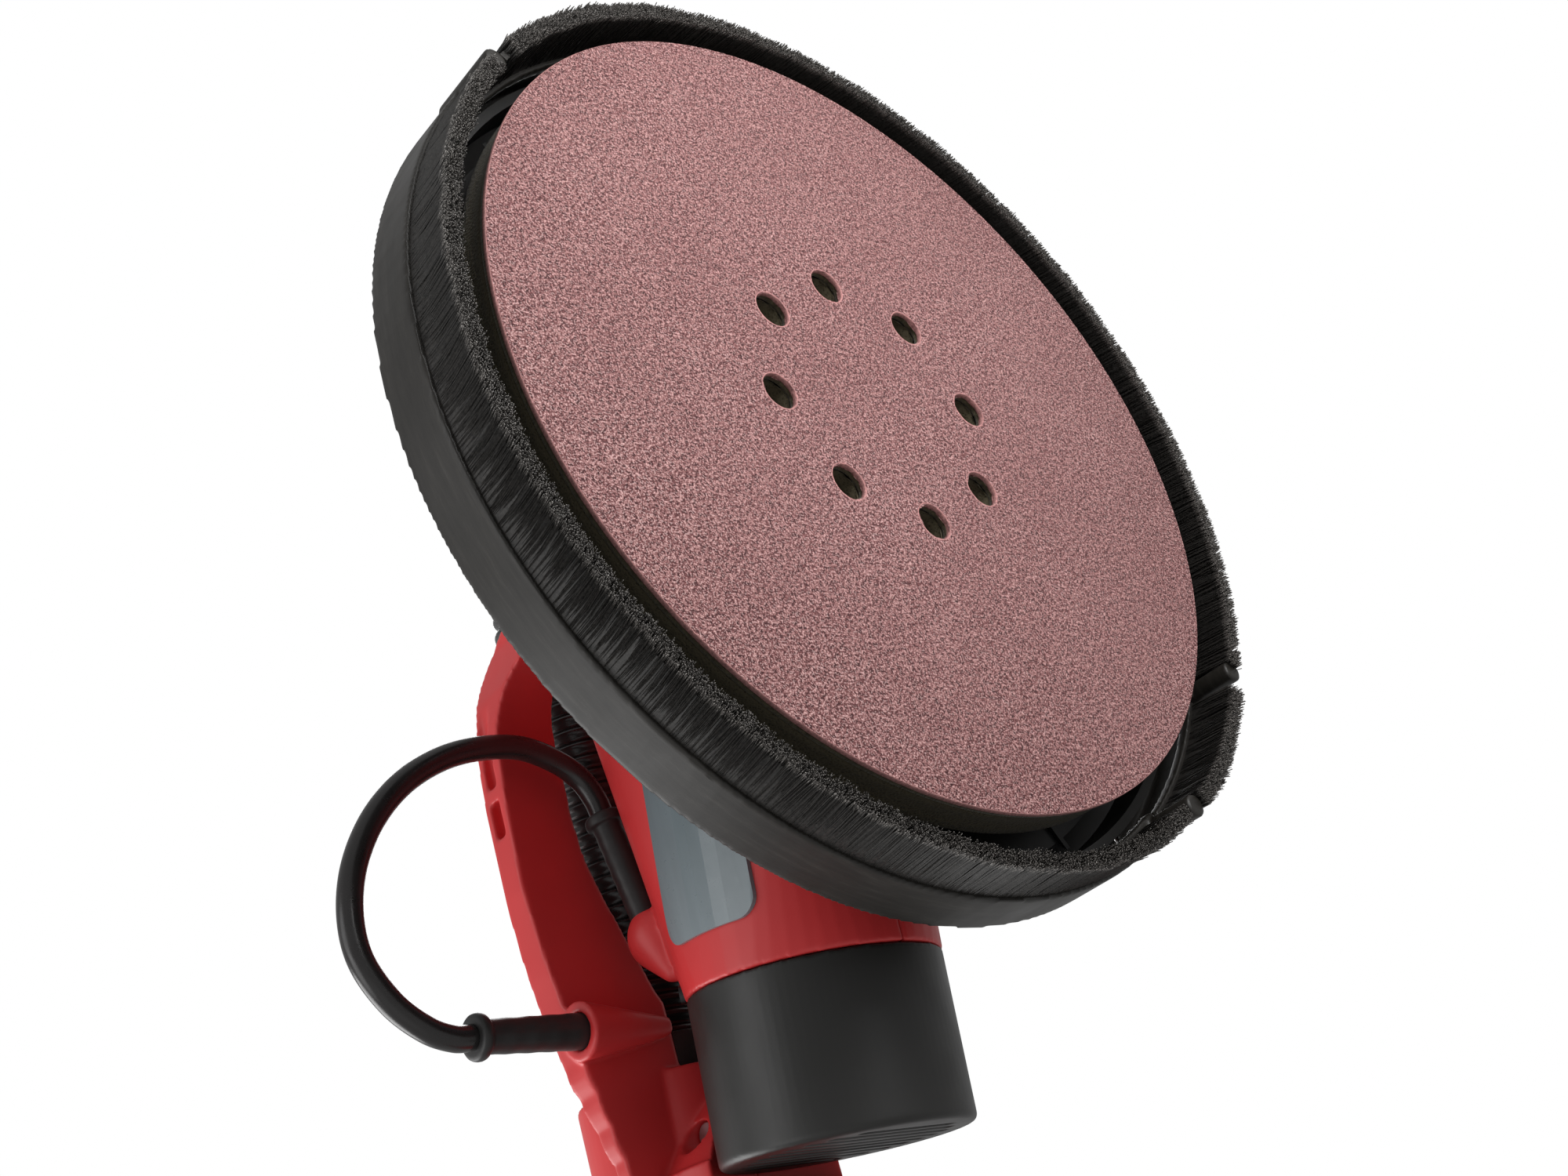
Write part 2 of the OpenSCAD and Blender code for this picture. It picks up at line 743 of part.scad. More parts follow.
// Half-round fairing under the plate that takes the boot of the jumper cord.
module cord_fairing() {
    translate([41.5, boot_y, boot_z]) rotate([0, -90, 0]) cylinder(r1 = 7.6, r2 = 2.5, h = 28);
}

// Whole handle, before it is split into its two shells.
module handle_solid() {
    difference() {
        union() {
            prong();
            handle_body(0);
            children();
        }
        difference() {
            handle_body(2.5);
            handle_screw_places() cylinder(r = 4.4, h = 100, center = true);
            mirror_x() rod_x(6, -trig_y, trig_z, 4.2, 20);
            on_motor(90) cylinder(r = barrel_r + 4.9, h = cap_to - 81);
        }
        // saddle that clears the motor's end cap
        on_motor(90) cylinder(r = barrel_r + 1.6, h = cap_to - 85);
        rearwards(100, hose_z) cylinder(r = 20.3, h = 30);
        rearwards(60, hose_z) cylinder(r = hose_r + 0.7, h = 50);
        rearwards(grip_end - 10, hose_z) cylinder(r = duct_r + 0.02, h = 20);
        rearwards(grip_end - 10, gland_z) cylinder(r = 6.02, h = 20);
        rod_x(fork_gap - 5, -pivot_back, pivot_z, 5, 40);
        rod_x(fork_gap + 10, -pivot_back, pivot_z, 9.5, 30);
        handle_screw_places() {
            cylinder(r = 1.7, h = 100, center = true, $fn = 24);
            translate([0, 0, 9]) cylinder(r = 3.7, h = 60);
        }
        rod_x(-12.4, -trig_y, trig_z, 2.02, 24.8);
        // mouth for the trigger
        translate([-5.3, -trig_y - 47, 100]) cube([10.6, 54, 14]);
        // recess for the soft grip
        rearwards(276) linear_extrude(100) difference() {
            section(grip_r + 1, grip_low, hose_z);
            section(grip_r - 1.1, grip_low, hose_z);
        }
    }
}

module half_space() {
    translate([0.05, -500, 40]) cube([80, 560, 160]);
}

module handle_left() {
    color(red) difference() {
        intersection() {
            handle_solid() cord_fairing();
            half_space();
        }
        rod_x(30, boot_y, boot_z, 4.55, 20);
        translate([dial_x, -dial_y, dial_z - 3.4]) cylinder(r = 13.5, h = 6.8);
        rod_x(5, -lock_y, lock_z, 4.3, 30);
    }
}

module handle_right() {
    color(red) mirror([1, 0, 0]) intersection() {
        handle_solid();
        half_space();
    }
}

module handle_screws() {
    color(steel) handle_screw_places() {
        translate([0, 0, -6]) cylinder(r = 1.65, h = 15, $fn = 24);
        translate([0, 0, 9.02]) cylinder(r = 3.2, h = 2, $fn = 24);
    }
}

module soft_grip() {
    color(dark) rearwards(276.1) linear_extrude(99.8) difference() {
        section(grip_r + 0.8, grip_low, hose_z);
        section(grip_r - 1.08, grip_low, hose_z);
    }
}

module duct_tube() {
    color([0.3, 0.3, 0.31]) rearwards(118, hose_z) ring(duct_r - 0.05, duct_r - 2, grip_end - 114);
}

module dust_spigot() {
    color(dark) rearwards(grip_end + 0.1, hose_z) difference() {
        union() {
            cylinder(r = grip_r, h = 4);
            cylinder(r = 17, h = spigot_len);
        }
        translate([0, 0, -1]) cylinder(r = port_r, h = 5.2);
        cylinder(r = 13.5, h = 60);
    }
}

// Dust hose: up from the shroud port, over the gear end and back between the prongs.
module dust_hose() {
    inner = port_r + 0.1;
    color([0.08, 0.08, 0.08]) {
        translate([0, port_y, 48]) ring(hose_r, inner, hose_z - hose_bend - 48);
        translate([0, port_y - hose_bend, hose_z - hose_bend]) rotate([90, 0, 90])
            rotate_extrude(angle = 90) translate([hose_bend, 0]) difference() {
                circle(r = hose_r);
                circle(r = inner);
            }
        rearwards(hose_bend - port_y, hose_z) ring(hose_r, inner, neck_from + port_y - hose_bend);
    }
}

module hose_cuff_front() {
    color(dark) translate([0, port_y, 46]) ring(hose_r + 3, hose_r + 0.05, 14);
}

module hose_cuff_rear() {
    color(dark) rearwards(112, hose_z) ring(hose_r + 2.9, hose_r + 0.05, 14);
}

// ---------- jumper cord ----------

function smooth(p, i, t) =
    let (n = len(p), a = p[max(i - 1, 0)], b = p[i], c = p[i + 1], d = p[min(i + 2, n - 1)])
    0.5 * (2 * b + (c - a) * t + (2 * a - 5 * b + 4 * c - d) * t * t
        + (3 * b - a - 3 * c + d) * t * t * t);
function unit(v) = v / norm(v);
function side_of(d) = unit(cross(d, [0, 0, 1]));

// Round tube swept along smoothed route points.
module swept_cord(points, r, sides, steps) {
    last = len(points) - 2;
    line = concat([for (i = [0 : last], k = [0 : steps - 1]) smooth(points, i, k / steps)],
        [points[last + 1]]);
    m = len(line) - 1;
    rings = [for (j = [0 : m]) let (d = unit(line[min(j + 1, m)] - line[max(j - 1, 0)]),
        u = side_of(d), v = cross(d, u))
        for (q = [0 : sides - 1]) line[j] + r * (cos(q * 360 / sides) * u
            + sin(q * 360 / sides) * v)];
    walls = [for (j = [0 : m - 1], q = [0 : sides - 1]) let (w = (q + 1) % sides)
        [j * sides + q, j * sides + w, (j + 1) * sides + w, (j + 1) * sides + q]];
    polyhedron(rings, concat(walls, [[for (q = [sides - 1 : -1 : 0]) q],
        [for (q = [0 : sides - 1]) m * sides + q]]));
}

module jumper_cord() {
    color([0.08, 0.08, 0.08]) swept_cord(cord_points, cord_r, 10, 3);
}

// Boot from one point to another, with a collar at its free end.
module boot(from, to, r) {
    d = to - from;
    translate(from) rotate([0, acos(d[2] / norm(d)), atan2(d[1], d[0])]) {
        cylinder(r = r, h = norm(d) - 0.3);
        translate([0, 0, norm(d) - 3.3]) cylinder(r = r + 1.1, h = 3);
    }
}

module cord_boot_head() {
    color(dark) boot(boot_root, cord_points[0], 4.3);
}

module cord_boot_handle() {
    color(dark) boot([31, boot_y, boot_z], cord_points[len(cord_points) - 1], 4.5);
}

// ---------- controls ----------

module trigger() {
    color(dark) difference() {
        side_plate(-5, 10) polygon([[209.5, 112], [209, 108], [213, 105], [222, 103.6],
            [232, 104.6], [246, 104.6], [255, 103], [259, 105.5], [258, 113.5], [221, 113.5],
            [218, 119], [216, 120.5], [212, 120.5], [210, 118]]);
        rod_x(-20, -trig_y, trig_z, 2 + fit, 40);
    }
}

module trigger_pin() {
    color(steel) rod_x(-12.3, -trig_y, trig_z, 2, 24.6);
}

module trigger_spring() {
    color(steel) translate([0, -250, 113.6]) coil(2.6, 0.35, 6.8, 4);
}

module lock_button() {
    color(dark) rod_x(11, -lock_y, lock_z, 4.2, 8.7);
}

module speed_dial() {
    color(dark) translate([dial_x, -dial_y, dial_z - 3]) difference() {
        cylinder(r = 13, h = 6);
        around(24) translate([13.2, 0, -1]) cylinder(r = 0.7, h = 8, $fn = 12);
        translate([0, 0, -1]) cylinder(r = 2 + fit, h = 8);
    }
}

module control_board() {
    color([0.12, 0.35, 0.2]) translate([-12, -330, 117]) {
        cube([24, 36, 1.6]);
        translate([3, 3, 1.6]) cube([9, 15, 7]);
        translate([15, 5, 1.6]) cylinder(r = 3, h = 8);
    }
    color(steel) translate([dial_x, -dial_y, dial_z - 5]) cylinder(r = 2, h = 10);
}

module switch_module() {
    color([0.2, 0.2, 0.22]) translate([-7, -254, 120.6]) cube([14, 30, 8.6]);
}

module cable_gland() {
    color(dark) rearwards(grip_end - 3, gland_z) difference() {
        union() {
            cylinder(r = 6, h = 10);
            translate([0, 0, 3.1]) cylinder(r = 7.5, h = 5);
            translate([0, 0, 8]) cylinder(r1 = 6.5, r2 = 4.8, h = 12);
        }
        translate([0, 0, 5]) cylinder(r = 3.6, h = 30);
    }
}

abrasive_disc();
hook_layer();
pad_foam();
backing_plate();
pad_bolt();
pad_arbor();
pad_bearing();
spindle();
crown_gear();
counterweight();
spindle_bearing_lower();
spindle_bearing_upper();
pad_shroud();
brush_band();
brush_bristles();
edge_segment();
edge_bristles();
skirt_springs();
gear_housing();
gear_housing_screws();
motor_housing_left();
motor_housing_right();
hose_hooks();
housing_screws();
pinion();
rotor_shaft();
rotor_core();
commutator();
cooling_fan();
stator();
motor_bearing_front();
motor_bearing_rear();
bearing_bracket();
brush_holders();
carbon_brushes();
motor_cap();
cap_screws();
badge_plate();
pivot_washers();
pivot_bolts();
handle_left();
handle_right();
handle_screws();
soft_grip();
duct_tube();
dust_spigot();
dust_hose();
hose_cuff_front();
hose_cuff_rear();
jumper_cord();
cord_boot_head();
cord_boot_handle();
trigger();
trigger_pin();
trigger_spring();
lock_button();
speed_dial();
switch_module();
control_board();
cable_gland();
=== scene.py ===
"""Looks of the disc sander head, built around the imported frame. Lengths are in metres."""

import json
import math

import bpy
import numpy as np
from mathutils import Matrix, Vector
from mathutils.geometry import delaunay_2d_cdt


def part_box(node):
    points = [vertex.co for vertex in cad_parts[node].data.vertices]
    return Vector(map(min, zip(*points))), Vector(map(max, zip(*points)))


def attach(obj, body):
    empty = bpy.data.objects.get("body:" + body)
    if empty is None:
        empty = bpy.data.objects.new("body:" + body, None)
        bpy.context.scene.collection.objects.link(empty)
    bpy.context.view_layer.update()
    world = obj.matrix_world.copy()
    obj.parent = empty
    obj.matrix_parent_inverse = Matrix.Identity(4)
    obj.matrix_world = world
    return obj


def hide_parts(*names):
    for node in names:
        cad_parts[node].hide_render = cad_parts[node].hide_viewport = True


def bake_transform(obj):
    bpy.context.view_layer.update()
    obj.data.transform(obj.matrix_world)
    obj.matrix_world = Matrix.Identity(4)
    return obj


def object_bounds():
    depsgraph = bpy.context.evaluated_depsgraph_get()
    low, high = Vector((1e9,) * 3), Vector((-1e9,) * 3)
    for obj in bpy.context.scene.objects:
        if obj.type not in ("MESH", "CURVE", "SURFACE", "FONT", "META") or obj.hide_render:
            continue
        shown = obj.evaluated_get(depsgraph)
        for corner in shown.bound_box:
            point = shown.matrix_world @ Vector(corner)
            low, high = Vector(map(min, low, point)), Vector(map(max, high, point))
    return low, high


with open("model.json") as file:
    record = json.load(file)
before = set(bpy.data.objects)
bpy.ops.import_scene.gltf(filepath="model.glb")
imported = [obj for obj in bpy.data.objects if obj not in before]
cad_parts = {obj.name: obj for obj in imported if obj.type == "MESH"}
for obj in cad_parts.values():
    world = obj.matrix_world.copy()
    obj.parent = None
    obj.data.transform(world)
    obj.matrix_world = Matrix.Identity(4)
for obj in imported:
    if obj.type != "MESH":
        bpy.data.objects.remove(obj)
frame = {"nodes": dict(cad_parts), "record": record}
cad_low, cad_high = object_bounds()
nodes = frame["nodes"]
MM = 0.001

# ---------- camera, lights and stage ----------

CAMERA_AT = Vector((0.33100, -0.24045, -0.24717))
CAMERA_RIGHT = Vector((-0.73781, -0.27252, -0.61756))
CAMERA_UP = Vector((0.10680, 0.85623, -0.50544))
CAMERA_BACK = CAMERA_RIGHT.cross(CAMERA_UP).normalized()
LENS = 44.475
SENSOR = 36.0
SUBJECT = Vector((0.0, -0.05, 0.06))


def make_camera():
    """The photo's own camera, worked out from the rim of the disc and its holes."""
    data = bpy.data.cameras.new("camera")
    data.lens = LENS
    data.sensor_width = SENSOR
    data.clip_start = 0.01
    camera = bpy.data.objects.new("camera", data)
    turn = Matrix((CAMERA_RIGHT, CAMERA_UP, CAMERA_BACK)).transposed()
    camera.matrix_world = Matrix.Translation(CAMERA_AT) @ turn.to_4x4()
    bpy.context.scene.collection.objects.link(camera)
    bpy.context.scene.camera = camera


def area_light(name, at, size, power):
    """Round light that faces the subject."""
    data = bpy.data.lights.new(name, "AREA")
    data.shape = "DISK"
    data.size = size
    data.energy = power
    light = bpy.data.objects.new(name, data)
    light.location = at
    light.rotation_euler = (SUBJECT - at).to_track_quat("-Z", "Y").to_euler()
    bpy.context.scene.collection.objects.link(light)


def camera_side(right, up, back):
    """A point beside the subject, measured along the camera's own axes."""
    return SUBJECT + CAMERA_RIGHT * right + CAMERA_UP * up + CAMERA_BACK * back


def make_lights():
    """Studio lights, each with its place, its width in metres and its power in watts."""
    area_light("key", camera_side(0.8, 1.3, 0.7), 0.9, 6)
    area_light("disc_glow", camera_side(0.12, 0.30, 0.14), 0.3, 1.05)
    area_light("left_strip", camera_side(-1.3, 0.1, 0.5), 0.9, 3.0)
    area_light("front_fill", camera_side(0.1, -0.5, 1.5), 1.2, 0.6)
    area_light("side_soft", Vector((1.2, -0.5, 0.35)), 0.8, 3)
    area_light("top", Vector((0.5, -0.7, 1.5)), 1.2, 16)
    area_light("top_back", Vector((-0.9, 0.7, 1.1)), 1.0, 9)


def make_world():
    """White to the camera, and a dimmer even light on the object."""
    on_object, to_camera = 0.43, 1.0
    world = bpy.data.worlds.new("studio")
    bpy.context.scene.world = world
    world.use_nodes = True
    tree = world.node_tree
    tree.nodes.clear()
    out = tree.nodes.new("ShaderNodeOutputWorld")
    mix = tree.nodes.new("ShaderNodeMixShader")
    path = tree.nodes.new("ShaderNodeLightPath")
    tree.links.new(path.outputs["Is Camera Ray"], mix.inputs[0])
    for slot, strength in ((1, on_object), (2, to_camera)):
        back = tree.nodes.new("ShaderNodeBackground")
        back.inputs["Color"].default_value = (1, 1, 1, 1)
        back.inputs["Strength"].default_value = strength
        tree.links.new(back.outputs[0], mix.inputs[slot])
    tree.links.new(mix.outputs[0], out.inputs["Surface"])
    bpy.context.scene.view_settings.view_transform = "Standard"


def make_floor():
    """Pale floor under the bristle tips. It is clear from below, where the main camera is, and only
    the camera sees it, so it takes shadows but throws none and lights nothing."""
    half = 6.0
    gap = 0.0005
    mesh = bpy.data.meshes.new("floor")
    corners = [(-half, -half, 0), (half, -half, 0), (half, half, 0), (-half, half, 0)]
    mesh.from_pydata([Vector(c) for c in corners], [], [(0, 1, 2, 3)])
    floor = bpy.data.objects.new("floor", mesh)
    floor.location = (0, 0, cad_low.z - gap)
    bpy.context.scene.collection.objects.link(floor)
    material = bpy.data.materials.new("floor_paint")
    material.use_nodes = True
    tree = material.node_tree
    tree.nodes.clear()
    out = tree.nodes.new("ShaderNodeOutputMaterial")
    mix = tree.nodes.new("ShaderNodeMixShader")
    side = tree.nodes.new("ShaderNodeNewGeometry")
    paint = tree.nodes.new("ShaderNodeBsdfDiffuse")
    paint.inputs["Color"].default_value = (0.50, 0.50, 0.49, 1)
    glow = tree.nodes.new("ShaderNodeEmission")
    glow.inputs["Strength"].default_value = 0.45
    both = tree.nodes.new("ShaderNodeAddShader")
    clear = tree.nodes.new("ShaderNodeBsdfTransparent")
    tree.links.new(side.outputs["Backfacing"], mix.inputs[0])
    tree.links.new(paint.outputs[0], both.inputs[0])
    tree.links.new(glow.outputs[0], both.inputs[1])
    tree.links.new(both.outputs[0], mix.inputs[1])
    tree.links.new(clear.outputs[0], mix.inputs[2])
    tree.links.new(mix.outputs[0], out.inputs["Surface"])
    mesh.materials.append(material)
    for kind in ("diffuse", "glossy", "transmission", "shadow"):
        setattr(floor, "visible_" + kind, False)


# ---------- materials ----------


class Paint:
    """A Principled material that is built up from small procedural layers."""

    def __init__(self, name, colour, rough, metal=0.0):
        self.material = bpy.data.materials.new(name)
        self.material.use_nodes = True
        self.tree = self.material.node_tree
        self.shader = self.tree.nodes["Principled BSDF"]
        self.colour = colour
        self.shader.inputs["Base Color"].default_value = (*colour, 1)
        self.shader.inputs["Roughness"].default_value = rough
        self.shader.inputs["Metallic"].default_value = metal
        self.place = self.node("ShaderNodeTexCoord").outputs["Object"]
        self.relief = None

    def node(self, kind, **settings):
        """A node of the material's tree, with its settings."""
        made = self.tree.nodes.new(kind)
        for key, value in settings.items():
            setattr(made, key, value)
        return made

    def set(self, **values):
        """Constants on the shader's own sockets, such as coat=0.3 or specular=0.4."""
        names = {"coat": "Coat Weight", "coat_rough": "Coat Roughness",
                 "specular": "Specular IOR Level", "sheen": "Sheen Weight"}
        for key, value in values.items():
            self.shader.inputs[names[key]].default_value = value
        return self

    def noise(self, scale, detail=3.0, rough=0.55, stretch=(1, 1, 1)):
        """Noise over the object, with its scale in cells per metre."""
        place = self.place
        if stretch != (1, 1, 1):
            mapping = self.node("ShaderNodeMapping")
            mapping.inputs["Scale"].default_value = stretch
            self.tree.links.new(place, mapping.inputs["Vector"])
            place = mapping.outputs["Vector"]
        texture = self.node("ShaderNodeTexNoise")
        texture.inputs["Scale"].default_value = scale
        texture.inputs["Detail"].default_value = detail
        texture.inputs["Roughness"].default_value = rough
        self.tree.links.new(place, texture.inputs["Vector"])
        return texture.outputs["Fac"]

    def ramp(self, source, low, high, tones):
        """Colours spread evenly between two values of the source."""
        ramp = self.node("ShaderNodeValToRGB")
        steps = ramp.color_ramp.elements
        while len(steps) < len(tones):
            steps.new(0.5)
        for i, tone in enumerate(tones):
            steps[i].position = low + (high - low) * i / (len(tones) - 1)
            steps[i].color = (*tone, 1)
        self.tree.links.new(source, ramp.inputs["Fac"])
        return ramp.outputs["Color"]

    def mix(self, factor, first, second, kind="MIX"):
        """Two colours, mixed by a number or by another layer."""
        mix = self.node("ShaderNodeMix", data_type="RGBA", blend_type=kind)
        if isinstance(factor, float):
            mix.inputs[0].default_value = factor
        else:
            self.tree.links.new(factor, mix.inputs[0])
        self.tree.links.new(first, mix.inputs[6])
        self.tree.links.new(second, mix.inputs[7])
        return mix.outputs[2]

    def base(self, colour):
        """Takes the base colour from a layer."""
        self.tree.links.new(colour, self.shader.inputs["Base Color"])
        return self

    def vary(self, scale, amount):
        """Slow change of tone over the surface."""
        dark = [c * (1 - amount) for c in self.colour]
        light = [min(1.0, c * (1 + amount)) for c in self.colour]
        return self.base(self.ramp(self.noise(scale), 0.3, 0.7, [dark, light]))

    def sheen_spots(self, scale, low, high):
        """Roughness that changes over the surface between two values."""
        spread = self.node("ShaderNodeMapRange")
        spread.inputs["From Min"].default_value = 0.3
        spread.inputs["From Max"].default_value = 0.7
        spread.inputs["To Min"].default_value = low
        spread.inputs["To Max"].default_value = high
        self.tree.links.new(self.noise(scale), spread.inputs["Value"])
        self.tree.links.new(spread.outputs["Result"], self.shader.inputs["Roughness"])
        return self

    def bump(self, source, strength, depth):
        """Fine relief, laid over any relief that is there already."""
        bump = self.node("ShaderNodeBump")
        bump.inputs["Strength"].default_value = strength
        bump.inputs["Distance"].default_value = depth
        self.tree.links.new(source, bump.inputs["Height"])
        if self.relief is not None:
            self.tree.links.new(self.relief, bump.inputs["Normal"])
        self.relief = bump.outputs["Normal"]
        self.tree.links.new(self.relief, self.shader.inputs["Normal"])
        return self

    def along(self, axis):
        """One coordinate of the place on the object, in metres."""
        split = self.node("ShaderNodeSeparateXYZ")
        self.tree.links.new(self.place, split.inputs[0])
        return split.outputs["XYZ".index(axis)]

    def spread(self, source, low, high):
        """The source, mapped so that low gives 0 and high gives 1."""
        span = self.node("ShaderNodeMapRange")
        span.inputs["From Min"].default_value = low
        span.inputs["From Max"].default_value = high
        self.tree.links.new(source, span.inputs["Value"])
        return span.outputs["Result"]


def moulded_plastic(name, colour, rough, grain=0.12):
    """Injection moulded plastic with a fine spark-eroded texture and faint handling marks."""
    paint = Paint(name, colour, rough)
    paint.vary(35, 0.06)
    paint.sheen_spots(60, rough - 0.05, rough + 0.07)
    paint.bump(paint.noise(3200, detail=1.5), grain, 0.00006)
    return paint.set(specular=0.45).material


def abrasive_paper():
    """Aluminium oxide grit: pale and dark grains over a rose ground."""
    paint = Paint("abrasive_grit", (0.30, 0.12, 0.13), 0.8)
    coarse = paint.noise(1050, detail=2.0, rough=0.65)
    fine = paint.noise(2300, detail=1.0, rough=0.5)
    ground = paint.ramp(coarse, 0.40, 0.62, [(0.036, 0.008, 0.009), (0.19, 0.062, 0.062),
                                             (0.49, 0.265, 0.25)])
    sparkle = paint.ramp(fine, 0.42, 0.62, [(0.042, 0.009, 0.010), (0.185, 0.058, 0.060),
                                            (0.68, 0.47, 0.45)])
    mixed = paint.mix(0.5, ground, sparkle)
    slow = paint.ramp(paint.noise(14, detail=2), 0.3, 0.7, [(0.90, 0.86, 0.86), (1, 1, 1)])
    paint.base(paint.mix(1.0, mixed, slow, "MULTIPLY"))
    paint.bump(coarse, 0.8, 0.0005)
    paint.bump(fine, 0.6, 0.00025)
    return paint.set(specular=0.3, sheen=0.05).material


def paper_edge():
    """Pale torn fibres at the cut edges of the abrasive disc."""
    paint = Paint("abrasive_cut_edge", (0.42, 0.20, 0.19), 0.9)
    paint.vary(1800, 0.35)
    return paint.bump(paint.noise(1500), 0.5, 0.0003).material


def foam_cells(name, colour):
    """Open-cell foam: small dark pores in an even ground."""
    paint = Paint(name, colour, 0.95)
    cells = paint.node("ShaderNodeTexVoronoi")
    cells.inputs["Scale"].default_value = 1500
    paint.tree.links.new(paint.place, cells.inputs["Vector"])
    dark = [c * 0.35 for c in colour]
    light = [c * 1.25 for c in colour]
    paint.base(paint.ramp(cells.outputs["Distance"], 0.05, 0.5, [dark, colour, light]))
    paint.bump(cells.outputs["Distance"], 0.6, 0.0003)
    return paint.set(specular=0.15, sheen=0.1).material


def hook_fabric():
    """Short olive pile that holds the abrasive disc."""
    paint = Paint("hook_fabric", (0.10, 0.085, 0.05), 0.9)
    paint.vary(900, 0.4)
    paint.bump(paint.noise(2600, detail=1, stretch=(1, 1, 0.3)), 0.8, 0.0003)
    return paint.set(sheen=0.25, specular=0.2).material


def filament():
    """Nylon filaments, dark along the stem, with a painted highlight of pale grey flecks at the cut
    tips.
    """
    paint = Paint("bristle_nylon", (0.012, 0.011, 0.010), 0.5)
    height = paint.along("Z")
    tip_highlight_ends, tip_highlight_starts = 0.0004, 0.0022
    tone = paint.ramp(paint.noise(1700, detail=2), 0.3, 0.7,
                      [(0.008, 0.0072, 0.0065), (0.036, 0.033, 0.030)])
    # Painted highlight: pale grey flecks near the tips stand in for light caught by the cut tips.
    tips = paint.ramp(paint.noise(3000, detail=2), 0.38, 0.66,
                      [(0.030, 0.028, 0.026), (0.11, 0.10, 0.092), (0.34, 0.32, 0.30)])
    paint.base(paint.mix(paint.spread(height, tip_highlight_starts, tip_highlight_ends), tone, tips))
    return paint.set(specular=0.35).material


def band_plastic():
    """Skirt band: warm black, with long faint scuffs round it."""
    paint = Paint("band_plastic", (0.040, 0.037, 0.033), 0.42)
    scuffs = paint.noise(60, detail=5, rough=0.7, stretch=(1, 1, 9))
    paint.base(paint.ramp(scuffs, 0.35, 0.75, [(0.013, 0.0115, 0.0098), (0.019, 0.017, 0.0145),
                                               (0.036, 0.033, 0.029)]))
    paint.sheen_spots(45, 0.36, 0.50)
    paint.bump(scuffs, 0.10, 0.0002)
    paint.bump(paint.noise(2800, detail=1), 0.10, 0.00005)
    return paint.set(specular=0.36).material


def badge_finish_and_painted_shade():
    """Blue-grey brushed plate, with painted shading that runs from dark at its front end to pale at
    its rear end.
    """
    paint = Paint("badge_metal", (0.14, 0.18, 0.20), 0.36)
    low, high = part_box("badge_plate")
    # Painted shade: the plate darkens towards its front end and pales towards its rear end, as light
    # falls on it.
    painted_shade = paint.spread(paint.along("Y"), high.y, low.y)
    tones = [(0.075, 0.105, 0.120), (0.120, 0.155, 0.170), (0.21, 0.25, 0.27)]
    brushed = paint.ramp(paint.noise(260, stretch=(1, 0.06, 1)), 0.3, 0.7,
                         [(0.90, 0.90, 0.90), (1, 1, 1)])
    paint.base(paint.mix(1.0, paint.ramp(painted_shade, 0.0, 1.0, tones), brushed, "MULTIPLY"))
    paint.sheen_spots(300, 0.26, 0.38)
    return paint.set(coat=0.3, coat_rough=0.2).material


def metal(name, colour, rough, grain=220, strength=0.06):
    """Machined or cast metal with a fine directional grain."""
    paint = Paint(name, colour, rough, 1.0)
    paint.vary(grain / 3, 0.08)
    paint.sheen_spots(grain, rough - 0.06, rough + 0.08)
    return paint.bump(paint.noise(grain * 6, stretch=(1, 1, 6)), strength, 0.00005).material


def laminations():
    """Stacked electrical steel: thin dark lines across the motor axis."""
    paint = Paint("lamination_stack", (0.34, 0.34, 0.36), 0.45, 0.8)
    lines = paint.node("ShaderNodeTexWave", wave_type="BANDS", bands_direction="Y")
    lines.inputs["Scale"].default_value = 320
    paint.tree.links.new(paint.place, lines.inputs["Vector"])
    paint.base(paint.ramp(lines.outputs["Fac"], 0.2, 0.8, [(0.14, 0.14, 0.15),
                                                           (0.40, 0.40, 0.42)]))
    return paint.bump(lines.outputs["Fac"], 0.4, 0.0001).material


def rubber(name, colour, rough, gloss=0.4):
    """Rubber or soft plastic with a slightly uneven sheen."""
    paint = Paint(name, colour, rough)
    paint.vary(90, 0.12)
    paint.sheen_spots(150, rough - 0.04, rough + 0.08)
    paint.bump(paint.noise(2400, detail=2), 0.12, 0.00006)
    return paint.set(specular=gloss).material


def printed_board():
    """Green lacquer over faint tracks."""
    paint = Paint("board_lacquer", (0.03, 0.16, 0.07), 0.35)
    tracks = paint.noise(420, detail=1, stretch=(1, 0.2, 1))
    paint.base(paint.ramp(tracks, 0.45, 0.55, [(0.02, 0.12, 0.05), (0.05, 0.24, 0.11)]))
    return paint.set(coat=0.4, coat_rough=0.2).material


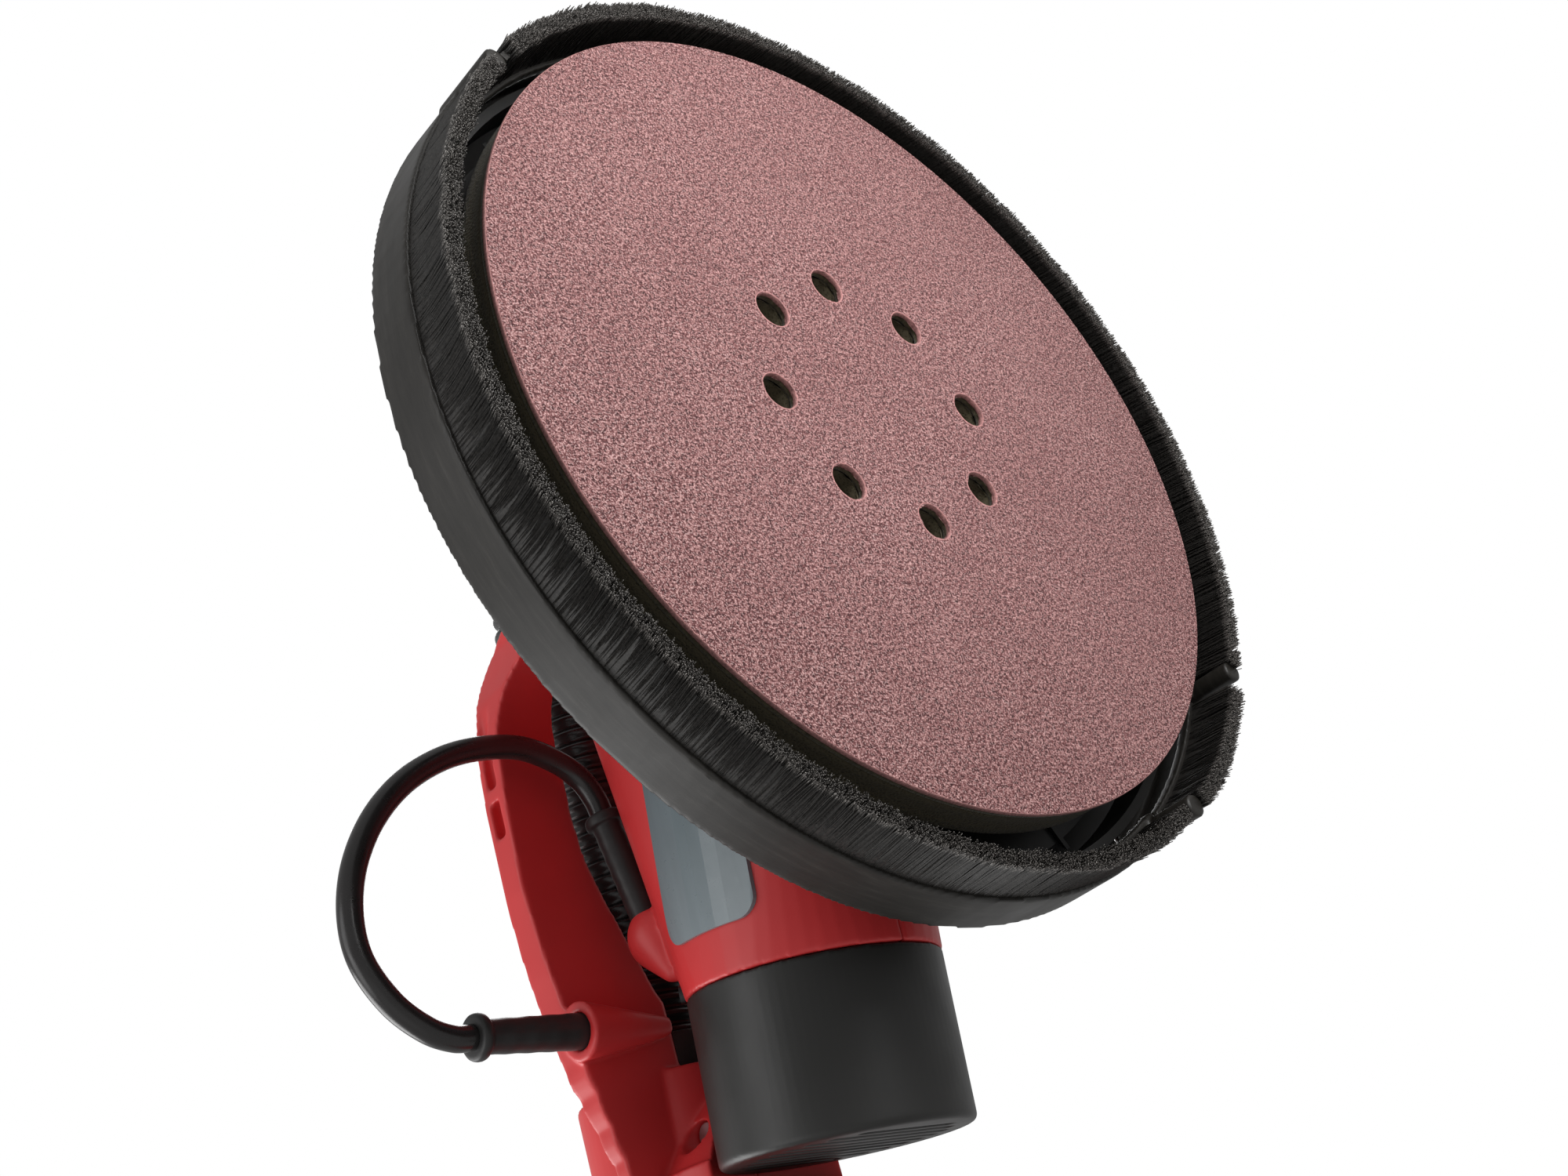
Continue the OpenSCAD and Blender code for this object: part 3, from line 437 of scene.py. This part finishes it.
def make_materials():
    """One material for each of the record's slots."""
    return {
        "abrasive": abrasive_paper(),
        "pad_hooks": hook_fabric(),
        "pad_foam": foam_cells("pad_foam_cells", (0.082, 0.070, 0.044)),
        "black_plastic": moulded_plastic("black_moulding", (0.022, 0.021, 0.020), 0.38),
        "band_plastic": band_plastic(),
        "bristle": filament(),
        "steel": metal("machined_steel", (0.60, 0.61, 0.63), 0.30),
        "bearing_steel": metal("ground_steel", (0.66, 0.67, 0.69), 0.18),
        "gear_steel": metal("gear_steel", (0.36, 0.36, 0.37), 0.35),
        "spring_steel": metal("spring_wire", (0.50, 0.50, 0.51), 0.28),
        "cast_aluminium": metal("cast_aluminium", (0.55, 0.56, 0.58), 0.48, 90, 0.2),
        "red_plastic": moulded_plastic("red_moulding", (0.60, 0.034, 0.036), 0.40, 0.10),
        "lamination": laminations(),
        "copper": metal("commutator_copper", (0.72, 0.34, 0.20), 0.30),
        "brass": metal("brush_brass", (0.72, 0.55, 0.26), 0.34),
        "carbon": moulded_plastic("graphite", (0.04, 0.04, 0.042), 0.5),
        "cap_plastic": moulded_plastic("cap_moulding", (0.013, 0.0125, 0.0115), 0.42, 0.14),
        "black_steel": metal("black_oxide", (0.05, 0.05, 0.052), 0.35),
        "badge": badge_finish_and_painted_shade(),
        "rubber": rubber("boot_rubber", (0.022, 0.021, 0.021), 0.42),
        "hose": rubber("hose_gloss", (0.012, 0.012, 0.012), 0.22, 0.6),
        "cord": rubber("cord_sheath", (0.016, 0.014, 0.014), 0.26, 0.55),
        "circuit_board": printed_board(),
    }


def paint_nodes(materials):
    """Gives every CAD node the material of its slot."""
    for part in frame["record"]["subparts"]:
        node = nodes[part["node"]]
        material = materials[part["material_slot"]]
        if not node.material_slots:
            node.data.materials.append(material)
        for slot in node.material_slots:
            slot.material = material


# ---------- mesh helpers ----------

ASKEW = (0.3, 0.2, 1.0)
TURNED_SIDES = 40
KEPT_SHARE = 0.4


def new_piece(name, vertices, faces, material, slot, smooth=True):
    """Object in the scene with one material. The slot argument is not used."""
    mesh = bpy.data.meshes.new(name)
    mesh.from_pydata([tuple(v) for v in vertices], [], [tuple(f) for f in faces])
    mesh.polygons.foreach_set("use_smooth", [smooth] * len(mesh.polygons))
    mesh.materials.append(material)
    mesh.update()
    piece = bpy.data.objects.new(name, mesh)
    bpy.context.scene.collection.objects.link(piece)
    return piece


def unit(vector):
    """The same direction with a length of one."""
    return vector / np.linalg.norm(vector)


def rings_along(line, radii, sides):
    """Rings of points round a line, without twist."""
    tangents = np.gradient(line, axis=0)
    tangents /= np.linalg.norm(tangents, axis=1)[:, None]
    side = unit(np.cross(tangents[0], ASKEW))
    angles = np.arange(sides) * 2 * math.pi / sides
    rings = []
    for point, tangent, radius in zip(line, tangents, radii):
        side = unit(side - tangent * side.dot(tangent))
        other = np.cross(tangent, side)
        rings.append(point + radius * (np.outer(np.cos(angles), side)
                                       + np.outer(np.sin(angles), other)))
    return rings


def skin(rings, closed_loop=False):
    """Vertices and quads over rings of points, capped at both ends unless they close on themselves."""
    sides = len(rings[0])
    count = len(rings)
    faces = []
    for j in range(count if closed_loop else count - 1):
        k = (j + 1) % count
        for q in range(sides):
            w = (q + 1) % sides
            faces.append((j * sides + q, j * sides + w, k * sides + w, k * sides + q))
    if not closed_loop:
        faces.append(tuple(range(sides - 1, -1, -1)))
        faces.append(tuple(range((count - 1) * sides, count * sides)))
    return np.vstack(rings), faces


def smooth_line(points, steps):
    """Catmull-Rom curve through the points, the same curve as the CAD route."""
    p = np.array(points, float)
    last = len(p) - 2
    line = []
    for i in range(last + 1):
        a, b, c, d = p[max(i - 1, 0)], p[i], p[i + 1], p[min(i + 2, last + 1)]
        for t in np.arange(steps) / steps:
            line.append(0.5 * (2 * b + (c - a) * t + (2 * a - 5 * b + 4 * c - d) * t * t
                               + (3 * b - a - 3 * c + d) * t ** 3))
    line.append(p[-1])
    return np.array(line)


def turned(name, start, end, profile, material, slot):
    """Turned solid between two points. The profile lists (distance from start, radius)."""
    start, end = np.array(start, float), np.array(end, float)
    axis = unit(end - start)
    side = unit(np.cross(axis, ASKEW))
    other = np.cross(axis, side)
    angles = np.arange(TURNED_SIDES) * 2 * math.pi / TURNED_SIDES
    circle = np.outer(np.cos(angles), side) + np.outer(np.sin(angles), other)
    rings = [start + axis * along + circle * radius for along, radius in profile]
    return new_piece(name, *skin(rings), material, slot)


def softened(name, source, material, voxel, passes=4):
    """A CAD node's shape with the small rounded edges that a moulding has. A finer voxel and fewer
    smoothing passes leave sharper edges."""
    piece = bpy.data.objects.new(name, nodes[source].data.copy())
    bpy.context.scene.collection.objects.link(piece)
    remesh = piece.modifiers.new("remesh", "REMESH")
    remesh.mode = "VOXEL"
    remesh.voxel_size = voxel
    smooth = piece.modifiers.new("smooth", "SMOOTH")
    smooth.factor = 0.5
    smooth.iterations = passes
    thin = piece.modifiers.new("thin", "DECIMATE")
    thin.ratio = KEPT_SHARE
    bpy.context.view_layer.update()
    graph = bpy.context.evaluated_depsgraph_get()
    mesh = bpy.data.meshes.new_from_object(piece.evaluated_get(graph))
    bpy.data.objects.remove(piece)
    mesh.name = name
    mesh.materials.clear()
    mesh.materials.append(material)
    mesh.polygons.foreach_set("material_index", [0] * len(mesh.polygons))
    mesh.polygons.foreach_set("use_smooth", [True] * len(mesh.polygons))
    piece = bpy.data.objects.new(name, mesh)
    bpy.context.scene.collection.objects.link(piece)
    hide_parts(source)
    return piece


# ---------- jumper cord and its boots ----------

CORD_POINTS = [(0.020, -0.055, 0.120), (0.0207, -0.050, 0.1204), (0.024, -0.044, 0.1205),
               (0.031, -0.0395, 0.120), (0.042, -0.0365, 0.1195), (0.055, -0.0375, 0.1195),
               (0.067, -0.041, 0.120), (0.079, -0.048, 0.1205), (0.089, -0.058, 0.121),
               (0.096, -0.070, 0.1215), (0.099, -0.082, 0.122), (0.098, -0.093, 0.1225),
               (0.092, -0.103, 0.123), (0.084, -0.1095, 0.1233), (0.077, -0.112, 0.1235),
               (0.072, -0.112, 0.1235)]
CORD_RADIUS = 3.2 * MM
CORD_SIDES = 28
CORD_STEPS = 12
HEAD_BOOT_ROOT = (0.016, -0.085, 0.1175)
HANDLE_BOOT_ROOT = (0.031, -0.112, 0.1235)


def boot_profile(length, root_radius, tip_radius, collar_radius, collar_width):
    """Tapered sleeve with shallow ribs and a rounded collar at its free end."""
    points = [(0.0, root_radius)]
    body = length - collar_width
    steps, steps_per_rib, collar_steps = 36, 6, 8
    groove, mouth_gap = 0.12 * MM, 0.3 * MM
    for i in range(1, steps):
        radius = root_radius + (tip_radius - root_radius) * i / steps
        dip = groove * (1 - math.cos(2 * math.pi * i / steps_per_rib)) / 2
        points.append((body * i / steps, radius - dip))
    for i in range(collar_steps + 1):
        turn = math.pi * i / collar_steps
        bulge = math.sin(turn) ** 0.5
        points.append((body + collar_width * (1 - math.cos(turn)) / 2,
                       tip_radius + (collar_radius - tip_radius) * bulge))
    points.append((length, CORD_RADIUS + mouth_gap))
    return points


def make_cord(materials):
    """Jumper cord from the motor to the fork, with a boot at each end."""
    line = smooth_line(CORD_POINTS, CORD_STEPS)
    rings = rings_along(line, [CORD_RADIUS] * len(line), CORD_SIDES)
    cord = new_piece("jumper_cord_sheath", *skin(rings), materials["cord"], "cord")
    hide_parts("jumper_cord")
    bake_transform(cord)
    profile = boot_profile(math.dist(HEAD_BOOT_ROOT, CORD_POINTS[0]), root_radius=4.3 * MM,
                           tip_radius=4.0 * MM, collar_radius=5.3 * MM, collar_width=3.2 * MM)
    head_boot = turned("cord_boot_motor_side", HEAD_BOOT_ROOT, CORD_POINTS[0], profile,
                       materials["rubber"], "rubber")
    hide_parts("cord_boot_head")
    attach(head_boot, "head")
    profile = boot_profile(math.dist(HANDLE_BOOT_ROOT, CORD_POINTS[-1]), root_radius=4.7 * MM,
                           tip_radius=4.2 * MM, collar_radius=5.7 * MM, collar_width=3.0 * MM)
    handle_boot = turned("cord_boot_handle_side", HANDLE_BOOT_ROOT, CORD_POINTS[-1], profile,
                         materials["rubber"], "rubber")
    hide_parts("cord_boot_handle")
    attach(handle_boot, "handle")


# ---------- dust hose ----------

HOSE_BEND = 54 * MM
HOSE_BORE = 15.62 * MM
HOSE_SIDES = 56
RIB_FOOT = 15.75 * MM
RIB_HEIGHT = 1.5 * MM
RIB_PITCH = 4.4 * MM
RIB_STEPS = 8
CUFF_RINGS = 6
CUFF_RADIUS = 16.4 * MM


def hose_line(step):
    """Centre line of the hose: up from the port, over the gear end and back into the handle."""
    low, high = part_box("dust_hose")
    outer = (high.x - low.x) / 2
    port_y = high.y - outer
    top_z = high.z - outer
    straight_up = top_z - HOSE_BEND - low.z
    arc = HOSE_BEND * math.pi / 2
    back = port_y - HOSE_BEND - low.y
    total = straight_up + arc + back
    line = []
    for s in np.arange(0, total + step / 2, step):
        if s < straight_up:
            line.append((0, port_y, low.z + s))
        elif s < straight_up + arc:
            turn = (s - straight_up) / HOSE_BEND
            line.append((0, port_y - HOSE_BEND + HOSE_BEND * math.cos(turn),
                         top_z - HOSE_BEND + HOSE_BEND * math.sin(turn)))
        else:
            line.append((0, port_y - HOSE_BEND - (s - straight_up - arc), top_z))
    return np.array(line)


def make_hose(materials):
    """Corrugated tube with a smooth bore and a plain cuff at each end."""
    line = hose_line(RIB_PITCH / RIB_STEPS)
    count = len(line)
    ribs = [0.5 - 0.5 * math.cos(2 * math.pi * i / RIB_STEPS) for i in range(count)]
    outer = [RIB_FOOT + RIB_HEIGHT * rib ** 0.7 for rib in ribs]
    outer[:CUFF_RINGS] = [CUFF_RADIUS] * CUFF_RINGS
    outer[-CUFF_RINGS:] = [CUFF_RADIUS] * CUFF_RINGS
    shell = rings_along(line, outer, HOSE_SIDES)
    bore = rings_along(line, [HOSE_BORE] * count, HOSE_SIDES)
    rings = shell + bore[::-1]
    hose = new_piece("corrugated_hose", *skin(rings, closed_loop=True), materials["hose"], "hose")
    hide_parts("dust_hose")
    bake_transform(hose)


# ---------- sanding pad ----------

PAD_HOLES = 8
HOLE_CIRCLE = 35 * MM
HOLE_TURN = math.radians(-7.25)
RIM_STEPS = 240
HOLE_STEPS = 40
GRID_STEP = 4 * MM
GRID_ROW = 0.866
SHEET_HOLE = 5.0 * MM
FOAM_HOLE = 5.2 * MM


def hole_places(centre):
    """Centres of the dust holes."""
    turns = [HOLE_TURN + i * 2 * math.pi / PAD_HOLES for i in range(PAD_HOLES)]
    return [(centre[0] + HOLE_CIRCLE * math.cos(turn), centre[1] + HOLE_CIRCLE * math.sin(turn))
            for turn in turns]


def disc_walls(loops, low_z, high_z):
    """Vertices and faces of the upright walls, and the vertex numbers at their low and high ends."""
    vertices, walls, lower, upper = [], [], [], []
    for (x, y), radius, count, profile, sign in loops:
        base = len(vertices)
        for shift, share in profile:
            for k in range(count):
                angle = sign * k * 2 * math.pi / count
                reach = radius + sign * shift
                vertices.append((x + reach * math.cos(angle), y + reach * math.sin(angle),
                                 low_z + (high_z - low_z) * share))
        for j in range(len(profile) - 1):
            for k in range(count):
                n = (k + 1) % count
                walls.append((base + j * count + k, base + j * count + n,
                              base + (j + 1) * count + n, base + (j + 1) * count + k))
        top = base + (len(profile) - 1) * count
        lower.append(range(base, base + count))
        upper.append(range(top, top + count))
    return vertices, walls, lower, upper


def interior_points(centre, radius, holes, hole_radius):
    """Points of an even grid inside the disc and clear of its holes."""
    reach = int(radius / GRID_STEP) + 1
    rim_room, hole_room = 2.5 * MM, 1.5 * MM
    found = []
    for i in range(-reach, reach + 1):
        for j in range(-reach, reach + 1):
            x = centre[0] + (i + 0.5 * (j % 2)) * GRID_STEP
            y = centre[1] + j * GRID_STEP * GRID_ROW
            if math.hypot(x - centre[0], y - centre[1]) > radius - rim_room:
                continue
            if min(math.hypot(x - hx, y - hy) for hx, hy in holes) < hole_radius + hole_room:
                continue
            found.append((x, y))
    return found


def disc_face(vertices, loops, inner, level, wave, holes, hole_radius):
    """Triangles between the loops. The inner points join the vertices, lifted by a slight wave."""
    tolerance = 0.3 * MM
    wave_x, wave_y = 95, 80
    flat, edges, origin, triangles = [], [], [], []
    for loop in loops:
        first = len(flat)
        for i in loop:
            flat.append(Vector(vertices[i][:2]))
            origin.append(i)
        for k in range(len(loop)):
            edges.append((first + k, first + (k + 1) % len(loop)))
    for x, y in inner:
        flat.append(Vector((x, y)))
        origin.append(len(vertices))
        vertices.append((x, y, level + wave * math.sin(x * wave_x) * math.cos(y * wave_y)))
    made = delaunay_2d_cdt(flat, edges, [], 1, 1e-7)
    for face in made[2]:
        ids = [origin[made[3][i][0]] for i in face]
        middle = np.mean([vertices[i][:2] for i in ids], axis=0)
        if min(math.dist(middle, hole) for hole in holes) >= hole_radius - tolerance:
            triangles.append(tuple(ids))
    return triangles


def perforated_disc(name, source, body, slot, rim, hole_rim, hole_radius, materials, wave=0.0):
    """Disc with dust holes. rim and hole_rim list (outward shift, share of the height) down a wall.
    A second material goes on the walls."""
    low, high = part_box(source)
    centre = ((low.x + high.x) / 2, (low.y + high.y) / 2)
    radius = (high.x - low.x) / 2
    holes = hole_places(centre)
    loops = [(centre, radius, RIM_STEPS, rim, 1)]
    loops += [(hole, hole_radius, HOLE_STEPS, hole_rim, -1) for hole in holes]
    vertices, walls, lower, upper = disc_walls(loops, low.z, high.z)
    inner = interior_points(centre, radius, holes, hole_radius)
    under = disc_face(vertices, lower, inner, low.z, wave, holes, hole_radius)
    over = disc_face(vertices, upper, inner, high.z, 0.0, holes, hole_radius)
    caps = [face[::-1] for face in under] + over
    piece = new_piece(name, vertices, walls + caps, materials[0], slot)
    if len(materials) > 1:
        piece.data.materials.append(materials[1])
        marks = [1] * len(walls) + [0] * len(caps)
        piece.data.polygons.foreach_set("material_index", marks)
    piece.data.polygons.foreach_set("use_smooth", [True] * len(walls) + [False] * len(caps))
    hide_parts(source)
    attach(piece, body)
    return piece


def make_pad(materials):
    """Abrasive disc, hook face and foam, with slightly uneven rims."""
    edge = paper_edge()
    paper_rim = [(-0.20 * MM, 0.0), (-0.05 * MM, 0.12), (0.0, 0.4), (0.0, 0.85), (-0.1 * MM, 1.0)]
    torn_rim = [(-0.35 * MM, 0.0), (-0.12 * MM, -0.06), (0.05 * MM, 0.15), (0.08 * MM, 0.9),
                (0.0, 1.0)]
    perforated_disc("abrasive_sheet", "abrasive_disc", "pad", "abrasive", paper_rim, torn_rim,
                    SHEET_HOLE, [materials["abrasive"], edge], wave=0.05 * MM)
    fuzzy_rim = [(-0.3 * MM, 0.0), (0.0, 0.2), (0.0, 0.8), (-0.3 * MM, 1.0)]
    hooks = perforated_disc("hook_face", "hook_layer", "pad", "pad_hooks", fuzzy_rim, fuzzy_rim,
                            FOAM_HOLE, [materials["pad_hooks"]])
    foam_rim = [(-0.5 * MM, 0.0), (-0.1 * MM, 0.07), (-0.5 * MM, 0.3), (-0.7 * MM, 0.5),
                (-0.5 * MM, 0.7), (-0.1 * MM, 0.93), (-0.5 * MM, 1.0)]
    hole_rim = [(0.0, 0.0), (-0.2 * MM, 0.5), (0.0, 1.0)]
    foam = perforated_disc("foam_pad", "pad_foam", "pad", "pad_foam", foam_rim, hole_rim,
                           FOAM_HOLE, [materials["pad_foam"]])


# ---------- bristles ----------

BRISTLE_TOP = 15.3 * MM
BRISTLE_IN = 120.7 * MM
BRISTLE_OUT = 124.5 * MM
LEAN = 2.2 * MM
RING_SPANS = [(-119, 38), (42, 210)]
EDGE_SPANS = [(214, 237)]
EDGE_MIDDLE = math.radians(225.5)
EDGE_SHIFT = 1.2 * MM


def slow_wave(rng, angles, amplitude, lumps):
    """Smooth random wave round the ring, the sum of a few sines with random phases."""
    waves, spacing, usual_peak = 5, 0.7, 1.6
    total = np.zeros_like(angles)
    for k in range(1, waves + 1):
        total += np.sin(angles * lumps * k * spacing + rng.uniform(0, 6.28)) / k
    return amplitude * total / usual_peak


def core_wall(spans):
    """Dark packed middle of the strips, which keeps daylight from showing through them. Its profile
    is radius and height in millimetres."""
    vertices, faces = [], []
    profile = [(121.6, 3.2), (123.7, 3.2), (124.3, 12.2), (124.45, 15.3), (120.75, 15.3),
               (120.9, 12.2)]
    sides = len(profile)
    steps_per_degree = 1.5
    for start, stop in spans:
        count = int((stop - start) * steps_per_degree) + 1
        base = len(vertices)
        for i in range(count + 1):
            angle = math.radians(start + (stop - start) * i / count)
            vertices += [(r * MM * math.cos(angle), r * MM * math.sin(angle), z * MM)
                         for r, z in profile]
        for i in range(count):
            for k in range(sides):
                n = (k + 1) % sides
                a, b = base + i * sides, base + (i + 1) * sides
                faces.append((a + k, a + n, b + n, b + k))
        faces.append(tuple(base + k for k in reversed(range(sides))))
        faces.append(tuple(base + count * sides + k for k in range(sides)))
    return np.array(vertices), faces


def strand_faces(count, levels):
    """Faces of separate three-sided strands, each with this many levels of corners."""
    block = 3 * levels
    pattern = []
    for j in range(levels - 1):
        for k in range(3):
            n = (k + 1) % 3
            pattern.append((3 * j + n, 3 * j + k, 3 * (j + 1) + k, 3 * (j + 1) + n))
    offsets = np.arange(count)[:, None, None] * block
    quads = (np.array(pattern)[None] + offsets).reshape(-1, 4)
    ends = np.array([(0, 1, 2), (block - 1, block - 2, block - 3)])
    return quads.tolist() + (ends[None] + offsets).reshape(-1, 3).tolist()


def bristle_strip(name, source, body, spans, shift, per_degree, seed, materials):
    """Thousands of thin filaments in a ring, combed one way, with frayed tips. Each level gives a
    height, the share of the lean, clumps and fan there, and the scatter in millimetres."""
    rng = np.random.default_rng(seed)
    angles = np.concatenate([rng.uniform(a, b, int((b - a) * per_degree)) for a, b in spans])
    angles = np.radians(angles)
    count = len(angles)
    depth = rng.uniform(0, 1, count)
    radius = BRISTLE_IN + (BRISTLE_OUT - BRISTLE_IN) * depth
    outward = np.stack([np.cos(angles), np.sin(angles), np.zeros(count)], axis=1)
    tangent = np.stack([-np.sin(angles), np.cos(angles), np.zeros(count)], axis=1)
    clump_out = slow_wave(rng, angles, 0.25 * MM, 40)
    clump_along = slow_wave(rng, angles, 0.5 * MM, 55) + LEAN
    thick = rng.uniform(0.10, 0.15, count) * MM
    levels = [(BRISTLE_TOP, 0.0, 0.02), (8.5 * MM, 0.35, 0.06), (2.6 * MM, 0.8, 0.14),
              (0.0, 1.0, 0.32)]
    fan = (depth - 0.5) * 0.7 * MM
    stray_out = rng.normal(0, 1, count)
    stray_along = rng.normal(0, 1, count)
    tips = np.abs(rng.normal(0, 0.45, count)) * MM + 0.05 * MM
    corners = []
    for height, share, stray in levels:
        middle = outward * (radius + clump_out * share + fan * share
                            + stray_out * stray * MM)[:, None]
        middle = middle + tangent * (clump_along * share + stray_along * stray * MM)[:, None]
        middle[:, 2] = height + (tips if height == 0.0 else 0)
        for k in range(3):
            turn = 2 * math.pi * k / 3
            corners.append(middle + outward * (thick * math.cos(turn))[:, None]
                           + tangent * (thick * math.sin(turn))[:, None])
    vertices = np.stack(corners, axis=1).reshape(-1, 3)
    core, walls = core_wall(spans)
    walls = [tuple(len(vertices) + i for i in wall) for wall in walls]
    vertices = np.vstack([vertices, core]) + np.array(shift)
    strip = new_piece(name, vertices, strand_faces(count, len(levels)) + walls,
                      materials["bristle"], "bristle", smooth=False)
    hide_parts(source)
    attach(strip, body)


def make_bristles(materials):
    """Strips of the ring, and those of the edge segment, which sits a little further out."""
    per_degree = 80
    bristle_strip("bristle_filaments", "brush_bristles", "skirt", RING_SPANS, (0, 0, 0),
                  per_degree, 11, materials)
    out = np.array([math.cos(EDGE_MIDDLE), math.sin(EDGE_MIDDLE), 0]) * EDGE_SHIFT
    bristle_strip("edge_filaments", "edge_bristles", "skirt", EDGE_SPANS, out, per_degree, 12,
                  materials)


# ---------- handle, mouldings and springs ----------

GROOVE_PITCH = 5.2 * MM
GROOVE_DEPTH = 0.75 * MM
GROOVE_WIDTH = 0.13
PLAIN_END = 8 * MM
END_ROUND = 1.2 * MM
END_DROP = 0.9 * MM
SLEEVE_WALL = 1.85 * MM
GRIP_RINGS = 190
GRIP_END_STEPS = 22


def stadium(radius, low, high, y):
    """Upright stadium outline at one station of the handle."""
    points = []
    for centre, start in ((high, 0), (low, math.pi)):
        for i in range(GRIP_END_STEPS + 1):
            turn = start + math.pi * i / GRIP_END_STEPS
            points.append((radius * math.cos(turn), y, centre + radius * math.sin(turn)))
    return np.array(points)


def make_grip(materials):
    """Soft sleeve with rounded ends and rows of grooves."""
    low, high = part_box("soft_grip")
    outer = (high.x - low.x) / 2
    lower, upper = low.z + outer, high.z - outer
    length = high.y - low.y
    outside, inside = [], []
    for i in range(GRIP_RINGS + 1):
        along = length * i / GRIP_RINGS
        end = min(along, length - along)
        cut = END_DROP * max(0.0, 1 - end / END_ROUND) ** 2
        if end > PLAIN_END:
            phase = (along / GROOVE_PITCH) % 1.0
            cut += GROOVE_DEPTH * math.exp(-((phase - 0.5) / GROOVE_WIDTH) ** 2)
        outside.append(stadium(outer - cut, lower, upper, high.y - along))
        inside.append(stadium(outer - SLEEVE_WALL, lower, upper, high.y - along))
    rings = outside + inside[::-1]
    grip = new_piece("grip_sleeve", *skin(rings, closed_loop=True), materials["rubber"], "rubber")
    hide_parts("soft_grip")
    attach(grip, "handle")


def make_mouldings(materials):
    """Moulded shells and controls, with softened edges."""
    red, black = materials["red_plastic"], materials["black_plastic"]
    coarse = 0.62 * MM
    for side in ("left", "right"):
        shell = softened("handle_shell_" + side, "handle_" + side, red, coarse)
        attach(shell, "handle")
        shell = softened("motor_shell_" + side, "motor_housing_" + side, red, coarse)
        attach(shell, "head")
    fine = 0.4 * MM
    for source, body in (("trigger", "trigger"), ("lock_button", "lock_button"),
                         ("speed_dial", "speed_dial"), ("hose_cuff_front", "head"),
                         ("hose_cuff_rear", "handle"), ("dust_spigot", "handle"),
                         ("cable_gland", "handle")):
        piece = softened(source + "_moulding", source, black, fine, passes=3)
        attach(piece, body)
    cap = softened("motor_cap_moulding", "motor_cap", materials["cap_plastic"],
                   0.5 * MM, passes=3)
    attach(cap, "head")
    hooks = softened("hose_hook_moulding", "hose_hooks", red, fine, passes=3)
    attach(hooks, "head")
    for source in ("brush_band", "edge_segment"):
        piece = softened(source + "_moulding", source, materials["band_plastic"],
                         0.6 * MM, passes=3)
        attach(piece, "skirt")


def make_springs(materials):
    """Coil springs, copied from their CAD nodes in spring steel."""
    for source, still, moved, fixed_end in (("skirt_springs", "head", "skirt", 0.0330),
                                            ("trigger_spring", "handle", "trigger", 0.1206)):
        mesh = nodes[source].data.copy()
        mesh.materials.clear()
        mesh.materials.append(materials["spring_steel"])
        mesh.polygons.foreach_set("material_index", [0] * len(mesh.polygons))
        coil = bpy.data.objects.new(source + "_wire", mesh)
        bpy.context.scene.collection.objects.link(coil)
        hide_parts(source)
        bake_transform(coil)


# ---------- build ----------

make_camera()
materials = make_materials()
make_cord(materials)
make_lights()
make_world()
make_floor()
paint_nodes(materials)
make_hose(materials)
make_pad(materials)
make_bristles(materials)
make_grip(materials)
make_mouldings(materials)
make_springs(materials)
